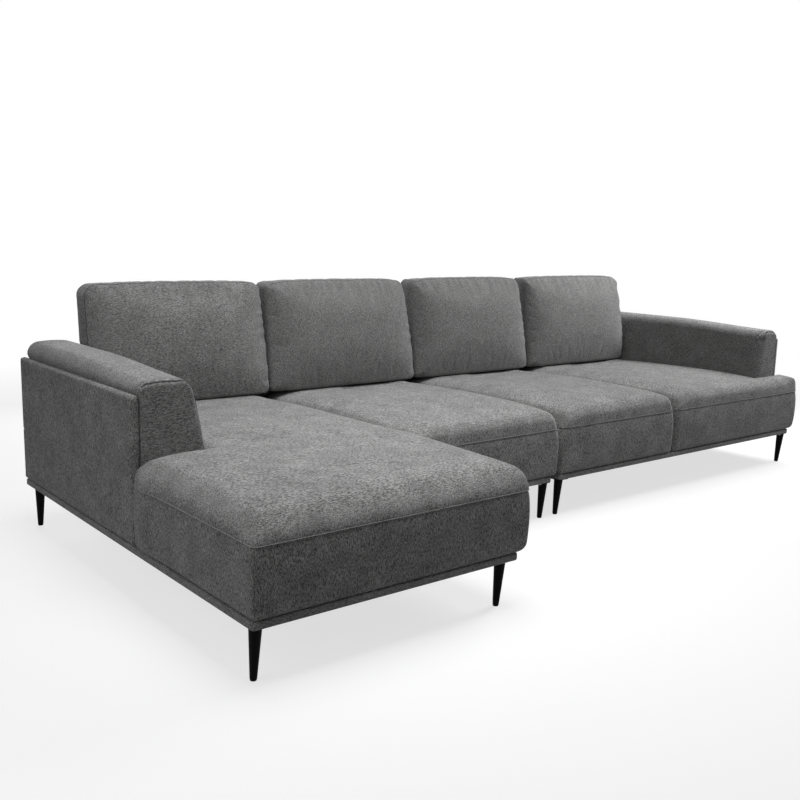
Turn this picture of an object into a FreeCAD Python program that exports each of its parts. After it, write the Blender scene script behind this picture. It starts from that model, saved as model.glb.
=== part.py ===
import FreeCAD, Part
import math
import os
import re

# Modular sofa: a chaise with a second seat and left arm, and a two-seat unit with right arm.
# Frame: origin under the middle of the outer box, on the surface it stands on.
# +X runs to the right along the back, -Y is the front, +Z is up. Millimetres.

doc = FreeCAD.newDocument("modular_sofa")
sizes = doc.addObject("Spreadsheet::Sheet", "Sizes")
places = doc.addObject("Spreadsheet::Sheet", "Places")
sheet_of = {}


def spell_out(words):
    """Name the sheet that each value of an expression is kept in."""
    return re.sub(r"[a-z]\w*", lambda found: sheet_of[found.group()] + "." + found.group(), words)


def write_cell(sheet, alias, content):
    row = 1 + sum(1 for home in sheet_of.values() if home == sheet.Name)
    sheet.set(f"A{row}", alias)
    sheet.set(f"B{row}", content)
    sheet.setAlias(f"B{row}", alias)
    sheet_of[alias] = sheet.Name


dimensions = {
    # Widths along the back, from the left arm to the right arm
    "chaise_width": 937,
    "second_seat_width": 765,
    "module_gap": 4,
    "third_seat_width": 736,
    "end_seat_width": 996,
    # Depths, from the outer back face forward
    "chaise_depth": 1655,
    "sofa_depth": 1088,
    "arm_setback": 106,
    "back_pad_depth": 44,
    "cushion_seam_depth": 92,
    "cushion_crown": 56,
    "rest_zone_depth": 76,
    "cushion_lean": 66,
    # Heights
    "leg_height": 148.5,
    "rail_height": 22,
    "shadow_line": 2,
    "border_height": 184.5,
    "frame_board_height": 135.5,
    "webbing_thickness": 2,
    "seat_rise": 75,
    "seat_crown": 11,
    "seat_edge_drop": 16,
    "panel_rise": 263,
    "arm_rise": 34,
    "arm_crown": 22,
    "back_pad_rise": 30,
    "cushion_height": 452,
    "cushion_top_crown": 5,
    # Board, panel and rail sections
    "rail_width": 100,
    "board_thickness": 22,
    "panel_thickness": 30,
    "panel_edge_radius": 11,
    "border_corner_radius": 34,
    "border_edge_radius": 8,
    # How far the upholstered body stands out past its base rails
    "side_overhang": 38,
    "front_overhang": 6,
    "rear_overhang": 12,
    "joint_overhang": 6,
    # Arm section
    "arm_top_start": 38,
    "arm_top_width": 78,
    "arm_top_fall": 3,
    "arm_inner_round": 28,
    "arm_inner_drop": 22,
    "arm_slant": 45,
    "arm_slant_height": 212,
    "arm_board_drop": 28,
    "arm_board_cover": 24,
    "arm_end_round": 50,
    "back_pad_radius": 18,
    # Seat front edge and the sewn pull in each seat
    "seat_front_round": 52,
    "seat_front_bulge": 2.4,
    "seat_front_fall": 10,
    "seat_drawn_in": 7,
    "pull_radius": 62,
    "pull_depth": 12,
    "pull_distance": 176,
    # Back cushion corners
    "cushion_corner_radius": 34,
    "cushion_back_radius": 12,
    "cushion_edge_crown": 6,
    "cushion_side_drop": 12,
    "cushion_arm_overlap": 13,
    # Webbing straps
    "strap_width": 60,
    "strap_pitch": 115,
    # Legs, their plates, screws and glides
    "leg_top_radius": 17.5,
    "leg_foot_radius": 9.5,
    "leg_rake": 10,
    "plate_side": 56,
    "plate_thickness": 3,
    "plate_shift": 8,
    "glide_height": 4,
    "glide_radius": 8.5,
    "screw_spacing": 42,
    "screw_radius": 2.25,
    "screw_length": 20,
    "screw_head_radius": 4.5,
    "screw_head_height": 2.2,
    "left_leg_inset": 30,
    "chaise_leg_inset": 38,
    "joint_leg_inset": 21,
    "front_leg_inset": 26,
    "rear_leg_inset": 60,
    # Dust cover
    "dust_cover_thickness": 1,
    "dust_cover_inset": 92,
    # Module coupling: a tongue under one unit in a jaw under the other
    "jaw_length": 60,
    "jaw_width": 50,
    "jaw_height": 12,
    "tongue_width": 30,
    "tongue_thickness": 3.2,
    "tongue_reach": 34,
    "tongue_end_play": 2,
    "coupling_clearance": 0.4,
    "coupling_front_distance": 800,
    "coupling_rear_distance": 260,
    # Clearances
    "soft_clearance": 0.3,
    "seat_gap": 2,
    "cushion_gap": 4,
}

for alias, value in dimensions.items():
    write_cell(sizes, alias, str(value))


def place(alias, formula):
    write_cell(places, alias, "=" + spell_out(formula))


# Planes across X
place("overall_length", "chaise_width + second_seat_width + module_gap + third_seat_width + end_seat_width")
place("body_left", "-overall_length / 2")
place("body_right", "overall_length / 2")
place("chaise_right", "body_left + chaise_width")
place("joint_a_face", "chaise_right + second_seat_width")
place("joint_b_face", "joint_a_face + module_gap")
place("third_right", "joint_b_face + third_seat_width")
place("base_left", "body_left")
place("base_chaise_right", "chaise_right - side_overhang")
place("base_joint_a", "joint_a_face - side_overhang")
place("base_joint_b", "joint_b_face + joint_overhang")
place("base_right", "body_right - side_overhang")
place("left_inner", "body_left + panel_thickness")
place("right_inner", "base_right - panel_thickness")
place("joint_b_inner", "joint_b_face + panel_thickness")

# Planes across Y
place("body_rear", "chaise_depth / 2")
place("chaise_front", "body_rear - chaise_depth")
place("seat_front", "body_rear - sofa_depth")
place("arm_front", "seat_front + arm_setback")
place("base_rear", "body_rear - rear_overhang")
place("base_chaise_front", "chaise_front + front_overhang")
place("base_seat_front", "seat_front + front_overhang")
place("back_inner", "body_rear - panel_thickness")
place("back_pad_front", "back_inner - back_pad_depth")
place("chaise_border_inner", "chaise_front + panel_thickness")
place("seat_border_inner", "seat_front + panel_thickness")
place("cushion_leant_on", "panel_rise + back_pad_rise - back_pad_radius - seat_rise")
place("cushion_foot", "cushion_lean * cushion_leant_on / cushion_height")
place("cushion_rear", "back_pad_front - 2 * soft_clearance - cushion_foot")
place("cushion_seam", "cushion_rear - cushion_seam_depth")
place("rest_zone_front", "cushion_seam - rest_zone_depth + cushion_crown / 2")
place("pull_line", "back_pad_front - pull_distance")

# Planes across Z
place("rail_bottom", "leg_height")
place("rail_top", "rail_bottom + rail_height")
place("body_bottom", "rail_top + shadow_line")
place("border_top", "body_bottom + border_height")
place("board_top", "rail_top + frame_board_height")
place("webbing_top", "board_top + 2 * webbing_thickness")
place("core_bottom", "webbing_top + soft_clearance")
place("seat_top", "border_top + seat_rise")
place("panel_top", "border_top + panel_rise")
place("arm_top", "panel_top + arm_rise")
place("back_pad_top", "panel_top + back_pad_rise")
place("cushion_bottom", "seat_top + soft_clearance")
place("cushion_top", "cushion_bottom + cushion_height")
place("plate_bottom", "rail_bottom - plate_thickness")

doc.recompute()


def at(alias):
    """Read one named value from its sheet."""
    return float(getattr(doc.getObject(sheet_of[alias]), alias))


nodes = []


def keep(piece, label):
    """Give a finished sub-part the name that it is written under."""
    piece.Label = label
    nodes.append(piece)
    return piece


def block(name, x_span, y_span, z_span):
    """A box between named planes, each span a pair of expressions."""
    box = doc.addObject("Part::Box", name)
    for prop, axis, span in (("Length", "x", x_span), ("Width", "y", y_span), ("Height", "z", z_span)):
        low = spell_out(span[0])
        high = spell_out(span[1])
        box.setExpression(prop, f"({high}) - ({low})")
        box.setExpression(f"Placement.Base.{axis}", low)
    return box


def post(name, radius, centre, z_span):
    """An upright cylinder with its radius, centre and ends bound to named values."""
    cylinder = doc.addObject("Part::Cylinder", name)
    low = spell_out(z_span[0])
    high = spell_out(z_span[1])
    cylinder.setExpression("Radius", spell_out(radius))
    cylinder.setExpression("Height", f"({high}) - ({low})")
    cylinder.setExpression("Placement.Base.x", spell_out(centre[0]))
    cylinder.setExpression("Placement.Base.y", spell_out(centre[1]))
    cylinder.setExpression("Placement.Base.z", low)
    return cylinder


def group(name, pieces):
    compound = doc.addObject("Part::Compound", name)
    compound.Links = pieces
    return compound


def cut(name, base, tool):
    result = doc.addObject("Part::Cut", name)
    result.Base = base
    result.Tool = tool
    return result


def join(name, pieces):
    result = doc.addObject("Part::MultiFuse", name)
    result.Shapes = pieces
    result.Refine = True
    return result


def edges_where(shape, test):
    """Numbers of the edges whose middle and direction pass a test."""
    found = []
    for number, edge in enumerate(shape.Edges, start=1):
        start = edge.valueAt(edge.FirstParameter)
        end = edge.valueAt(edge.LastParameter)
        if test((start + end) * 0.5, end - start):
            found.append(number)
    return found


def rounded(name, base, edge_radii):
    """Fillet a piece: each entry is a test for its edges and a radius."""
    doc.recompute()
    fillet = doc.addObject("Part::Fillet", name)
    fillet.Base = base
    fillet.Edges = [
        (number, radius, radius)
        for test, radius in edge_radii
        for number in edges_where(base.Shape, test)
    ]
    return fillet


def near(one, other):
    return abs(one - other) < 0.01


# Legs: tapered steel tubes welded to a square plate, with the foot set back a little.
# Each entry: name, centre across X, centre across Y, and the way to the middle of the unit.
chaise_y = "base_chaise_front + chaise_leg_inset"
front_y = "base_seat_front + front_leg_inset"
rear_y = "base_rear - rear_leg_inset"
legs_a = (
    ("leg_chaise_front_left", "base_left + left_leg_inset", chaise_y, 1, 1),
    ("leg_chaise_front_right", "base_chaise_right - chaise_leg_inset", chaise_y, -1, 1),
    ("leg_joint_front_a", "base_joint_a - joint_leg_inset", front_y, -1, 1),
    ("leg_joint_rear_a", "base_joint_a - joint_leg_inset", rear_y, -1, 0),
    ("leg_rear_left", "base_left + left_leg_inset", rear_y, 1, 0),
)
legs_b = (
    ("leg_joint_front_b", "base_joint_b + joint_leg_inset", front_y, 1, 1),
    ("leg_joint_rear_b", "base_joint_b + joint_leg_inset", rear_y, 1, 0),
    ("leg_end_front", "base_right - joint_leg_inset", front_y, -1, 1),
    ("leg_end_rear", "base_right - joint_leg_inset", rear_y, -1, 0),
)


def screw_centres(plate_x, plate_y, inward_x, inward_y):
    """Corners of a screw square around a plate's middle, less the one that the tube covers."""
    corners = [(x_way, y_way) for x_way in (1, -1) for y_way in (1, -1)]
    if inward_y:
        corners.remove((-inward_x, -inward_y))
    return [
        (f"{plate_x} + {x_way} * screw_spacing / 2", f"{plate_y} + {y_way} * screw_spacing / 2")
        for x_way, y_way in corners
    ]


def screw(name, centre, seat_height):
    """A pan-head screw driven upward, its head under the given height."""
    shank_span = (seat_height, seat_height + " + screw_length")
    head_span = (seat_height + " - screw_head_height", seat_height)
    shank = post(name + "_shank", "screw_radius", centre, shank_span)
    head = post(name + "_head", "screw_head_radius", centre, head_span)
    return join(name, [shank, head])


def pilot_holes(name, centres, z_span):
    return group(name, [post(f"{name}_{n}", "screw_radius", c, z_span) for n, c in enumerate(centres)])


def leg(name, x, y, inward_x, inward_y):
    """One leg with its drilled plate; returns its screws, rail holes and glide too."""
    plate_x = f"{x} + {inward_x} * plate_shift"
    plate_y = f"{y} + {inward_y} * plate_shift"
    top = doc.addObject("Part::Circle", name + "_top")
    foot = doc.addObject("Part::Circle", name + "_foot")
    foot_y = f"{y} + leg_rake"
    for circle, radius, centre_y, height in (
        (foot, "leg_foot_radius", foot_y, "glide_height"),
        (top, "leg_top_radius", y, "plate_bottom"),
    ):
        circle.setExpression("Radius", spell_out(radius))
        circle.setExpression("Placement.Base.x", spell_out(x))
        circle.setExpression("Placement.Base.y", spell_out(centre_y))
        circle.setExpression("Placement.Base.z", spell_out(height))
    tube = doc.addObject("Part::Loft", name + "_tube")
    tube.Sections = [foot, top]
    tube.Solid = True
    tube.Ruled = True
    plate = block(
        name + "_plate",
        (f"{plate_x} - plate_side / 2", f"{plate_x} + plate_side / 2"),
        (f"{plate_y} - plate_side / 2", f"{plate_y} + plate_side / 2"),
        ("plate_bottom", "rail_bottom"),
    )
    centres = screw_centres(plate_x, plate_y, inward_x, inward_y)
    plate_holes = pilot_holes(name + "_plate_hole", centres, ("plate_bottom", "rail_bottom"))
    rail_holes = pilot_holes(name + "_rail_hole", centres, ("rail_bottom", "plate_bottom + screw_length"))
    keep(join(name, [cut(name + "_drilled", plate, plate_holes), tube]), name)
    screws = [screw(f"{name}_screw_{n}", c, "plate_bottom") for n, c in enumerate(centres)]
    glide = post(name + "_glide", "glide_radius", (x, foot_y), ("rail_bottom - leg_height", "glide_height"))
    return screws, rail_holes, glide


fixings = {"a": [], "b": []}
glides = {"a": [], "b": []}
holes = {}
for unit, legs in (("a", legs_a), ("b", legs_b)):
    for entry in legs:
        leg_screws, leg_holes, leg_glide = leg(*entry)
        fixings[unit] += leg_screws
        glides[unit].append(leg_glide)
        holes[entry[0]] = leg_holes

# Module coupling: two jaws under the chaise unit's end rail, two tongues under the other unit's.
jaws = []
tongues = []
jaw_holes = []
tongue_holes = []
for number, distance in enumerate(("coupling_rear_distance", "coupling_front_distance")):
    middle = f"body_rear - {distance}"
    jaw = block(
        f"jaw_block_{number}",
        ("base_joint_a - jaw_length", "base_joint_a"),
        (f"{middle} - jaw_width / 2", f"{middle} + jaw_width / 2"),
        ("rail_bottom - jaw_height", "rail_bottom"),
    )
    slot = block(
        f"jaw_slot_{number}",
        ("base_joint_a - tongue_reach", "base_joint_a"),
        (
            f"{middle} - tongue_width / 2 - coupling_clearance",
            f"{middle} + tongue_width / 2 + coupling_clearance",
        ),
        (
            "rail_bottom - jaw_height / 2 - tongue_thickness / 2 - coupling_clearance",
            "rail_bottom - jaw_height / 2 + tongue_thickness / 2 + coupling_clearance",
        ),
    )
    anchor = block(
        f"tongue_anchor_{number}",
        ("base_joint_b", "base_joint_b + jaw_length"),
        (f"{middle} - tongue_width / 2", f"{middle} + tongue_width / 2"),
        ("rail_bottom - jaw_height / 2 - tongue_thickness / 2", "rail_bottom"),
    )
    blade = block(
        f"tongue_blade_{number}",
        ("base_joint_a - tongue_reach + tongue_end_play", "base_joint_b + jaw_length"),
        (f"{middle} - tongue_width / 2", f"{middle} + tongue_width / 2"),
        (
            "rail_bottom - jaw_height / 2 - tongue_thickness / 2",
            "rail_bottom - jaw_height / 2 + tongue_thickness / 2",
        ),
    )
    screw_x_a = "base_joint_a - jaw_length + 2 * screw_head_radius"
    screw_x_b = "base_joint_b + jaw_length - 2 * screw_head_radius"
    jaw_spots = [(screw_x_a, f"{middle} {sign} tongue_width / 2") for sign in "+-"]
    tongue_spots = [(screw_x_b, f"{middle} {sign} tongue_width / 4") for sign in "+-"]
    jaw_base = "rail_bottom - jaw_height"
    tongue_base = "rail_bottom - jaw_height / 2 - tongue_thickness / 2"
    jaw_drill = pilot_holes(f"jaw_drill_{number}", jaw_spots, (jaw_base, "rail_bottom"))
    tongue_drill = pilot_holes(f"tongue_drill_{number}", tongue_spots, (tongue_base, "rail_bottom"))
    jaws.append(cut(f"jaw_{number}", jaw, group(f"jaw_cutters_{number}", [slot, jaw_drill])))
    tongues.append(cut(f"tongue_{number}", join(f"tongue_body_{number}", [anchor, blade]), tongue_drill))
    jaw_holes.append(
        pilot_holes(f"jaw_rail_hole_{number}", jaw_spots, ("rail_bottom", f"{jaw_base} + screw_length"))
    )
    tongue_holes.append(
        pilot_holes(f"tongue_rail_hole_{number}", tongue_spots, ("rail_bottom", f"{tongue_base} + screw_length"))
    )
    fixings["a"] += [screw(f"jaw_screw_{number}_{n}", c, jaw_base) for n, c in enumerate(jaw_spots)]
    fixings["b"] += [screw(f"tongue_screw_{number}_{n}", c, tongue_base) for n, c in enumerate(tongue_spots)]

keep(group("jaws_group", jaws), "coupling_jaws")
keep(group("tongues_group", tongues), "coupling_tongues")
for unit in "ab":
    keep(group(f"fixings_group_{unit}", fixings[unit]), f"base_screws_{unit}")
    keep(group(f"glides_group_{unit}", glides[unit]), f"leg_glides_{unit}")

# Base rails: flat boards wrapped in the sofa's cloth, seen as a thin band under a shadow line.
rail_z = ("rail_bottom", "rail_top")
front_rail_y = ("base_seat_front", "base_seat_front + rail_width")
rear_rail_y = ("base_rear - rail_width", "base_rear")
side_rail_y = ("base_seat_front + rail_width", "base_rear - rail_width")
chaise_side_y = ("base_chaise_front + rail_width", "base_rear - rail_width")
base_rails = (
    (
        "base_rail_chaise_front",
        ("base_left", "base_chaise_right"),
        ("base_chaise_front", "base_chaise_front + rail_width"),
        [holes["leg_chaise_front_left"], holes["leg_chaise_front_right"]],
    ),
    ("base_rail_left", ("base_left", "base_left + rail_width"), chaise_side_y, []),
    ("base_rail_middle", ("base_chaise_right - rail_width", "base_chaise_right"), chaise_side_y, []),
    (
        "base_rail_second_front",
        ("base_chaise_right", "base_joint_a"),
        front_rail_y,
        [holes["leg_joint_front_a"]],
    ),
    ("base_rail_joint_a", ("base_joint_a - rail_width", "base_joint_a"), side_rail_y, jaw_holes),
    (
        "base_rail_rear_a",
        ("base_left", "base_joint_a"),
        rear_rail_y,
        [holes["leg_rear_left"], holes["leg_joint_rear_a"]],
    ),
    (
        "base_rail_front_b",
        ("base_joint_b", "base_right"),
        front_rail_y,
        [holes["leg_joint_front_b"], holes["leg_end_front"]],
    ),
    ("base_rail_joint_b", ("base_joint_b", "base_joint_b + rail_width"), side_rail_y, tongue_holes),
    ("base_rail_right", ("base_right - rail_width", "base_right"), side_rail_y, []),
    (
        "base_rail_rear_b",
        ("base_joint_b", "base_right"),
        rear_rail_y,
        [holes["leg_joint_rear_b"], holes["leg_end_rear"]],
    ),
)
for label, x_span, y_span, rail_holes in base_rails:
    rail = block(label + "_board", x_span, y_span, rail_z)
    if rail_holes:
        rail = cut(label + "_drilled", rail, group(label + "_holes", rail_holes))
    keep(rail, label)

# Dust covers: thin cloth stapled under the rails.
cover_z = ("rail_bottom - dust_cover_thickness", "rail_bottom")
cover_y = ("base_seat_front + dust_cover_inset", "base_rear - dust_cover_inset")
keep(
    block(
        "dust_cover_chaise_sheet",
        ("base_left + dust_cover_inset", "base_chaise_right - rail_width / 2"),
        ("base_chaise_front + dust_cover_inset", "base_rear - dust_cover_inset"),
        cover_z,
    ),
    "dust_cover_chaise",
)
keep(
    block(
        "dust_cover_second_sheet",
        ("base_chaise_right - rail_width / 2", "base_joint_a - dust_cover_inset"),
        cover_y,
        cover_z,
    ),
    "dust_cover_second",
)
keep(
    block(
        "dust_cover_b_sheet",
        ("base_joint_b + dust_cover_inset", "base_right - dust_cover_inset"),
        cover_y,
        cover_z,
    ),
    "dust_cover_b",
)

# Seat frames: upright boards standing on the base rails, glued into a box.
board_z = ("rail_top", "board_top")
rear_board_y = ("back_inner - board_thickness", "back_inner")
seat_board_y = ("seat_border_inner", "seat_border_inner + board_thickness")
side_board_y = ("seat_border_inner + board_thickness", "back_inner - board_thickness")
long_board_y = ("chaise_border_inner + board_thickness", "back_inner - board_thickness")
frame_a = [
    block(
        "frame_board_chaise_front",
        ("left_inner", "base_chaise_right"),
        ("chaise_border_inner", "chaise_border_inner + board_thickness"),
        board_z,
    ),
    block("frame_board_left", ("left_inner", "left_inner + board_thickness"), long_board_y, board_z),
    block(
        "frame_board_middle",
        ("base_chaise_right - board_thickness", "base_chaise_right"),
        long_board_y,
        board_z,
    ),
    block("frame_board_second_front", ("chaise_right", "base_joint_a"), seat_board_y, board_z),
    block("frame_board_rear_a", ("left_inner", "base_joint_a"), rear_board_y, board_z),
    block("frame_board_joint_a", ("base_joint_a - board_thickness", "base_joint_a"), side_board_y, board_z),
]
frame_b = [
    block("frame_board_front_b", ("joint_b_inner", "right_inner"), seat_board_y, board_z),
    block("frame_board_joint_b", ("joint_b_inner", "joint_b_inner + board_thickness"), side_board_y, board_z),
    block(
        "frame_board_cross_b",
        ("third_right - board_thickness / 2", "third_right + board_thickness / 2"),
        side_board_y,
        board_z,
    ),
    block("frame_board_right", ("right_inner - board_thickness", "right_inner"), side_board_y, board_z),
    block("frame_board_rear_b", ("joint_b_inner", "right_inner"), rear_board_y, board_z),
]
keep(group("frame_a_boards", frame_a), "seat_frame_a")
keep(group("frame_b_boards", frame_b), "seat_frame_b")


# Seat webbing: elastic straps, the long ones over the boards and the cross ones on top of them.
def straps(name, along, across_low, across_high, end_low, end_high, layer):
    """Evenly spaced straps that fill one bay, in one of the two layers."""
    room = at(across_high) - at(across_low)
    count = max(1, int(room // at("strap_pitch")))
    low = "board_top" if layer == 0 else "board_top + webbing_thickness"
    z_span = (low, low + " + webbing_thickness")
    made = []
    for number in range(count):
        middle = f"{across_low} + ({across_high} - {across_low}) * {number + 0.5} / {count}"
        across = (f"{middle} - strap_width / 2", f"{middle} + strap_width / 2")
        ends = (end_low, end_high)
        spans = (across, ends) if along == "y" else (ends, across)
        made.append(block(f"{name}_{along}_{number}", *spans, z_span))
    return made


place("bay_left", "left_inner + board_thickness")
place("bay_second", "base_chaise_right + board_thickness")
place("bay_joint_a", "base_joint_a - board_thickness")
place("bay_joint_b", "joint_b_inner + board_thickness")
place("bay_right", "right_inner - board_thickness")
place("bay_front", "seat_border_inner + board_thickness")
place("bay_chaise_front", "chaise_border_inner + board_thickness")
place("bay_rear", "back_inner - board_thickness")
place("bay_middle", "base_chaise_right - board_thickness")
doc.recompute()
webbing_a = straps("web_chaise", "y", "bay_left", "bay_middle", "chaise_border_inner", "back_inner", 0)
webbing_a += straps("web_chaise", "x", "bay_chaise_front", "bay_rear", "left_inner", "base_chaise_right", 1)
webbing_a += straps("web_second", "y", "bay_second", "bay_joint_a", "seat_border_inner", "back_inner", 0)
webbing_a += straps("web_second", "x", "bay_front", "bay_rear", "base_chaise_right", "base_joint_a", 1)
webbing_b = straps("web_third", "y", "bay_joint_b", "third_right", "seat_border_inner", "back_inner", 0)
webbing_b += straps("web_end", "y", "third_right", "bay_right", "seat_border_inner", "back_inner", 0)
webbing_b += straps("web_b", "x", "bay_front", "bay_rear", "joint_b_inner", "right_inner", 1)
keep(group("webbing_a_straps", webbing_a), "seat_webbing_a")
keep(group("webbing_b_straps", webbing_b), "seat_webbing_b")

# Borders: the padded, cloth-covered walls of the base box, up to the stitched line.
border_z = ("body_bottom", "border_top")
side_y = ("seat_border_inner", "back_inner")


def runs_along(direction, axis):
    """True where an edge runs along the given axis only."""
    parts = [abs(direction.x), abs(direction.y), abs(direction.z)]
    return parts["xyz".index(axis)] > 0.99 * direction.Length


def lower_corner(x_plane):
    """Test for the lower edges along Y on an X plane."""
    return lambda mid, way: runs_along(way, "y") and near(mid.x, at(x_plane)) and near(mid.z, at("body_bottom"))


def front_corner(x_plane, y_plane):
    """Test for the upright edge where an X plane meets a front plane."""
    return lambda mid, way: runs_along(way, "z") and near(mid.x, at(x_plane)) and near(mid.y, at(y_plane))


corner = at("border_corner_radius")
soft_edge = at("border_edge_radius")
chaise_front_wall = block(
    "border_chaise_front_wall",
    ("body_left", "chaise_right"),
    ("chaise_front", "chaise_border_inner"),
    border_z,
)
keep(
    rounded(
        "border_chaise_front_round",
        chaise_front_wall,
        [
            (lower_corner("chaise_right"), corner),
            (front_corner("body_left", "chaise_front"), soft_edge),
        ],
    ),
    "border_chaise_front",
)
keep(
    block(
        "border_left_wall",
        ("body_left", "left_inner"),
        ("chaise_border_inner", "body_rear"),
        border_z,
    ),
    "border_left",
)
chaise_right_wall = block(
    "border_chaise_right_wall",
    ("base_chaise_right", "chaise_right"),
    ("chaise_border_inner", "seat_border_inner"),
    border_z,
)
keep(
    rounded("border_chaise_right_round", chaise_right_wall, [(lower_corner("chaise_right"), corner)]),
    "border_chaise_right",
)
second_front_wall = block(
    "border_second_front_wall",
    ("chaise_right + seat_gap / 2", "joint_a_face"),
    ("seat_front", "seat_border_inner"),
    border_z,
)
keep(
    rounded("border_second_front_round", second_front_wall, [(lower_corner("joint_a_face"), corner)]),
    "border_second_front",
)
joint_a_wall = block("border_joint_a_wall", ("base_joint_a", "joint_a_face"), side_y, border_z)
keep(
    rounded("border_joint_a_round", joint_a_wall, [(lower_corner("joint_a_face"), corner)]),
    "border_joint_a",
)
keep(
    block("border_joint_b_wall", ("joint_b_face", "joint_b_inner"), side_y, border_z),
    "border_joint_b",
)
third_front_wall = block(
    "border_third_front_wall",
    ("joint_b_face", "third_right - seat_gap / 2"),
    ("seat_front", "seat_border_inner"),
    border_z,
)
third_edges = [(front_corner("joint_b_face", "seat_front"), soft_edge)]
keep(rounded("border_third_front_round", third_front_wall, third_edges), "border_third_front")
end_front_wall = block(
    "border_end_front_wall",
    ("third_right + seat_gap / 2", "body_right"),
    ("seat_front", "seat_border_inner"),
    border_z,
)
end_return = block(
    "border_end_return",
    ("right_inner", "body_right"),
    ("seat_front", "arm_front"),
    border_z,
)
end_wall = join("border_end_wall", [end_front_wall, end_return])
end_edges = [
    (lower_corner("body_right"), corner),
    (front_corner("body_right", "seat_front"), soft_edge),
]
keep(rounded("border_end_front_round", end_wall, end_edges), "border_end_front")
keep(
    block("border_right_wall", ("right_inner", "base_right"), ("arm_front", "body_rear"), border_z),
    "border_right",
)

# Outer side and back panels: thin upholstered boards with a rounded upper edge.
panel_z = ("border_top", "panel_top")
upper_edge = at("panel_edge_radius")


def upper_edges(axis):
    return lambda mid, way: runs_along(way, axis) and near(mid.z, at("panel_top"))


for label, x_span, y_span, z_span, axis in (
    ("side_panel_left", ("body_left", "left_inner"), ("arm_front", "body_rear"), panel_z, "y"),
    ("side_panel_right", ("right_inner", "base_right"), ("arm_front", "body_rear"), panel_z, "y"),
    ("back_panel_a", ("left_inner", "joint_a_face"), ("back_inner", "body_rear"), ("body_bottom", "panel_top"), "x"),
    ("back_panel_b", ("joint_b_face", "right_inner"), ("back_inner", "body_rear"), ("body_bottom", "panel_top"), "x"),
):
    panel = block(label + "_board", x_span, y_span, z_span)
    keep(rounded(label + "_round", panel, [(upper_edges(axis), upper_edge)]), label)

# Arm frames: an upright board inside each arm, on the seat frame's side board.
place("arm_board_top", "panel_top - arm_board_drop")
place("arm_board_front", "arm_front + arm_board_cover")
doc.recompute()
arm_board_y = ("arm_board_front", "back_inner - arm_board_cover")
arm_board_z = ("board_top + webbing_thickness * 2", "arm_board_top")
keep(
    block("arm_frame_left_board", ("left_inner", "left_inner + board_thickness"), arm_board_y, arm_board_z),
    "arm_frame_left",
)
keep(
    block("arm_frame_right_board", ("right_inner - board_thickness", "right_inner"), arm_board_y, arm_board_z),
    "arm_frame_right",
)
doc.recompute()


# Soft pieces: closed lofts through sections of lines and arcs.
def line(start, end):
    return Part.LineSegment(start, end).toShape()


def arc(start, middle, end):
    return Part.Arc(start, middle, end).toShape()


def slab(x_span, y_span, z_span):
    """A plain box between numbers, for cutting and for foam cores."""
    corner_point = FreeCAD.Vector(x_span[0], y_span[0], z_span[0])
    return Part.makeBox(
        x_span[1] - x_span[0],
        y_span[1] - y_span[0],
        z_span[1] - z_span[0],
        corner_point,
    )


def soft_piece(shape, label):
    """Store one soft solid under its own name."""
    piece = doc.addObject("Part::Feature", label + "_solid")
    piece.Shape = shape
    piece.Placement = FreeCAD.Placement()
    return keep(piece, label)


round_share = 1 - math.sqrt(0.5)
foam_low = at("core_bottom")
arm_top = at("arm_top")
panel_inner_distance = at("panel_thickness")
slant_low_distance = at("arm_top_start") + panel_inner_distance + at("arm_top_width") + at("arm_inner_round")
arm_slope = at("arm_slant") / at("arm_slant_height")
slant_top_z = arm_top - at("arm_inner_drop")


def arm_inner_distance(height):
    """How far the arm's inner face stands from the arm's outer face at a height."""
    return slant_low_distance + arm_slope * (slant_top_z - height)


def arm_section(outer_x, way, y, crown):
    """One upright section of an arm; way is 1 for the left arm and -1 for the right."""
    def point(distance, height):
        return FreeCAD.Vector(outer_x + way * distance, y, height)

    shell = panel_inner_distance + at("soft_clearance")
    flat_start = panel_inner_distance + at("arm_top_start")
    flat_end = flat_start + at("arm_top_width")
    outer_low = at("panel_top") - at("panel_edge_radius")
    outer_width = flat_start - shell
    outer_rise = arm_top - outer_low
    inner_round = at("arm_inner_round")
    inner_drop = at("arm_inner_drop")
    top_fall = at("arm_top_fall")
    corners = [
        point(shell, foam_low),
        point(shell, outer_low),
        point(flat_start, arm_top),
        point(flat_end, arm_top - top_fall),
        point(flat_end + inner_round, slant_top_z),
        point(arm_inner_distance(foam_low), foam_low),
    ]
    outer_mid = point(shell + outer_width * round_share, arm_top - outer_rise * round_share)
    top_mid = point((flat_start + flat_end) / 2, arm_top + crown)
    inner_mid = point(
        flat_end + inner_round * (1 - round_share),
        arm_top - top_fall - (inner_drop - top_fall) * round_share,
    )
    edges = [
        line(corners[0], corners[1]),
        arc(corners[1], outer_mid, corners[2]),
        arc(corners[2], top_mid, corners[3]),
        arc(corners[3], inner_mid, corners[4]),
        line(corners[4], corners[5]),
        line(corners[5], corners[0]),
    ]
    return Part.Wire(edges)


def arm_room(outer_x, way, clearance, low_y, high_y):
    """A prism that holds the arm up to its slanted inner face, with a clearance."""
    heights = (at("body_bottom"), at("cushion_top") + at("arm_rise"))
    inner = [outer_x + way * (arm_inner_distance(height) + clearance) for height in heights]
    outer = outer_x - way * at("rail_width")
    corners = [
        FreeCAD.Vector(outer, low_y, heights[0]),
        FreeCAD.Vector(inner[0], low_y, heights[0]),
        FreeCAD.Vector(inner[1], low_y, heights[1]),
        FreeCAD.Vector(outer, low_y, heights[1]),
    ]
    face = Part.Face(Part.makePolygon(corners + corners[:1]))
    return face.extrude(FreeCAD.Vector(0, high_y - low_y, 0))


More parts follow.
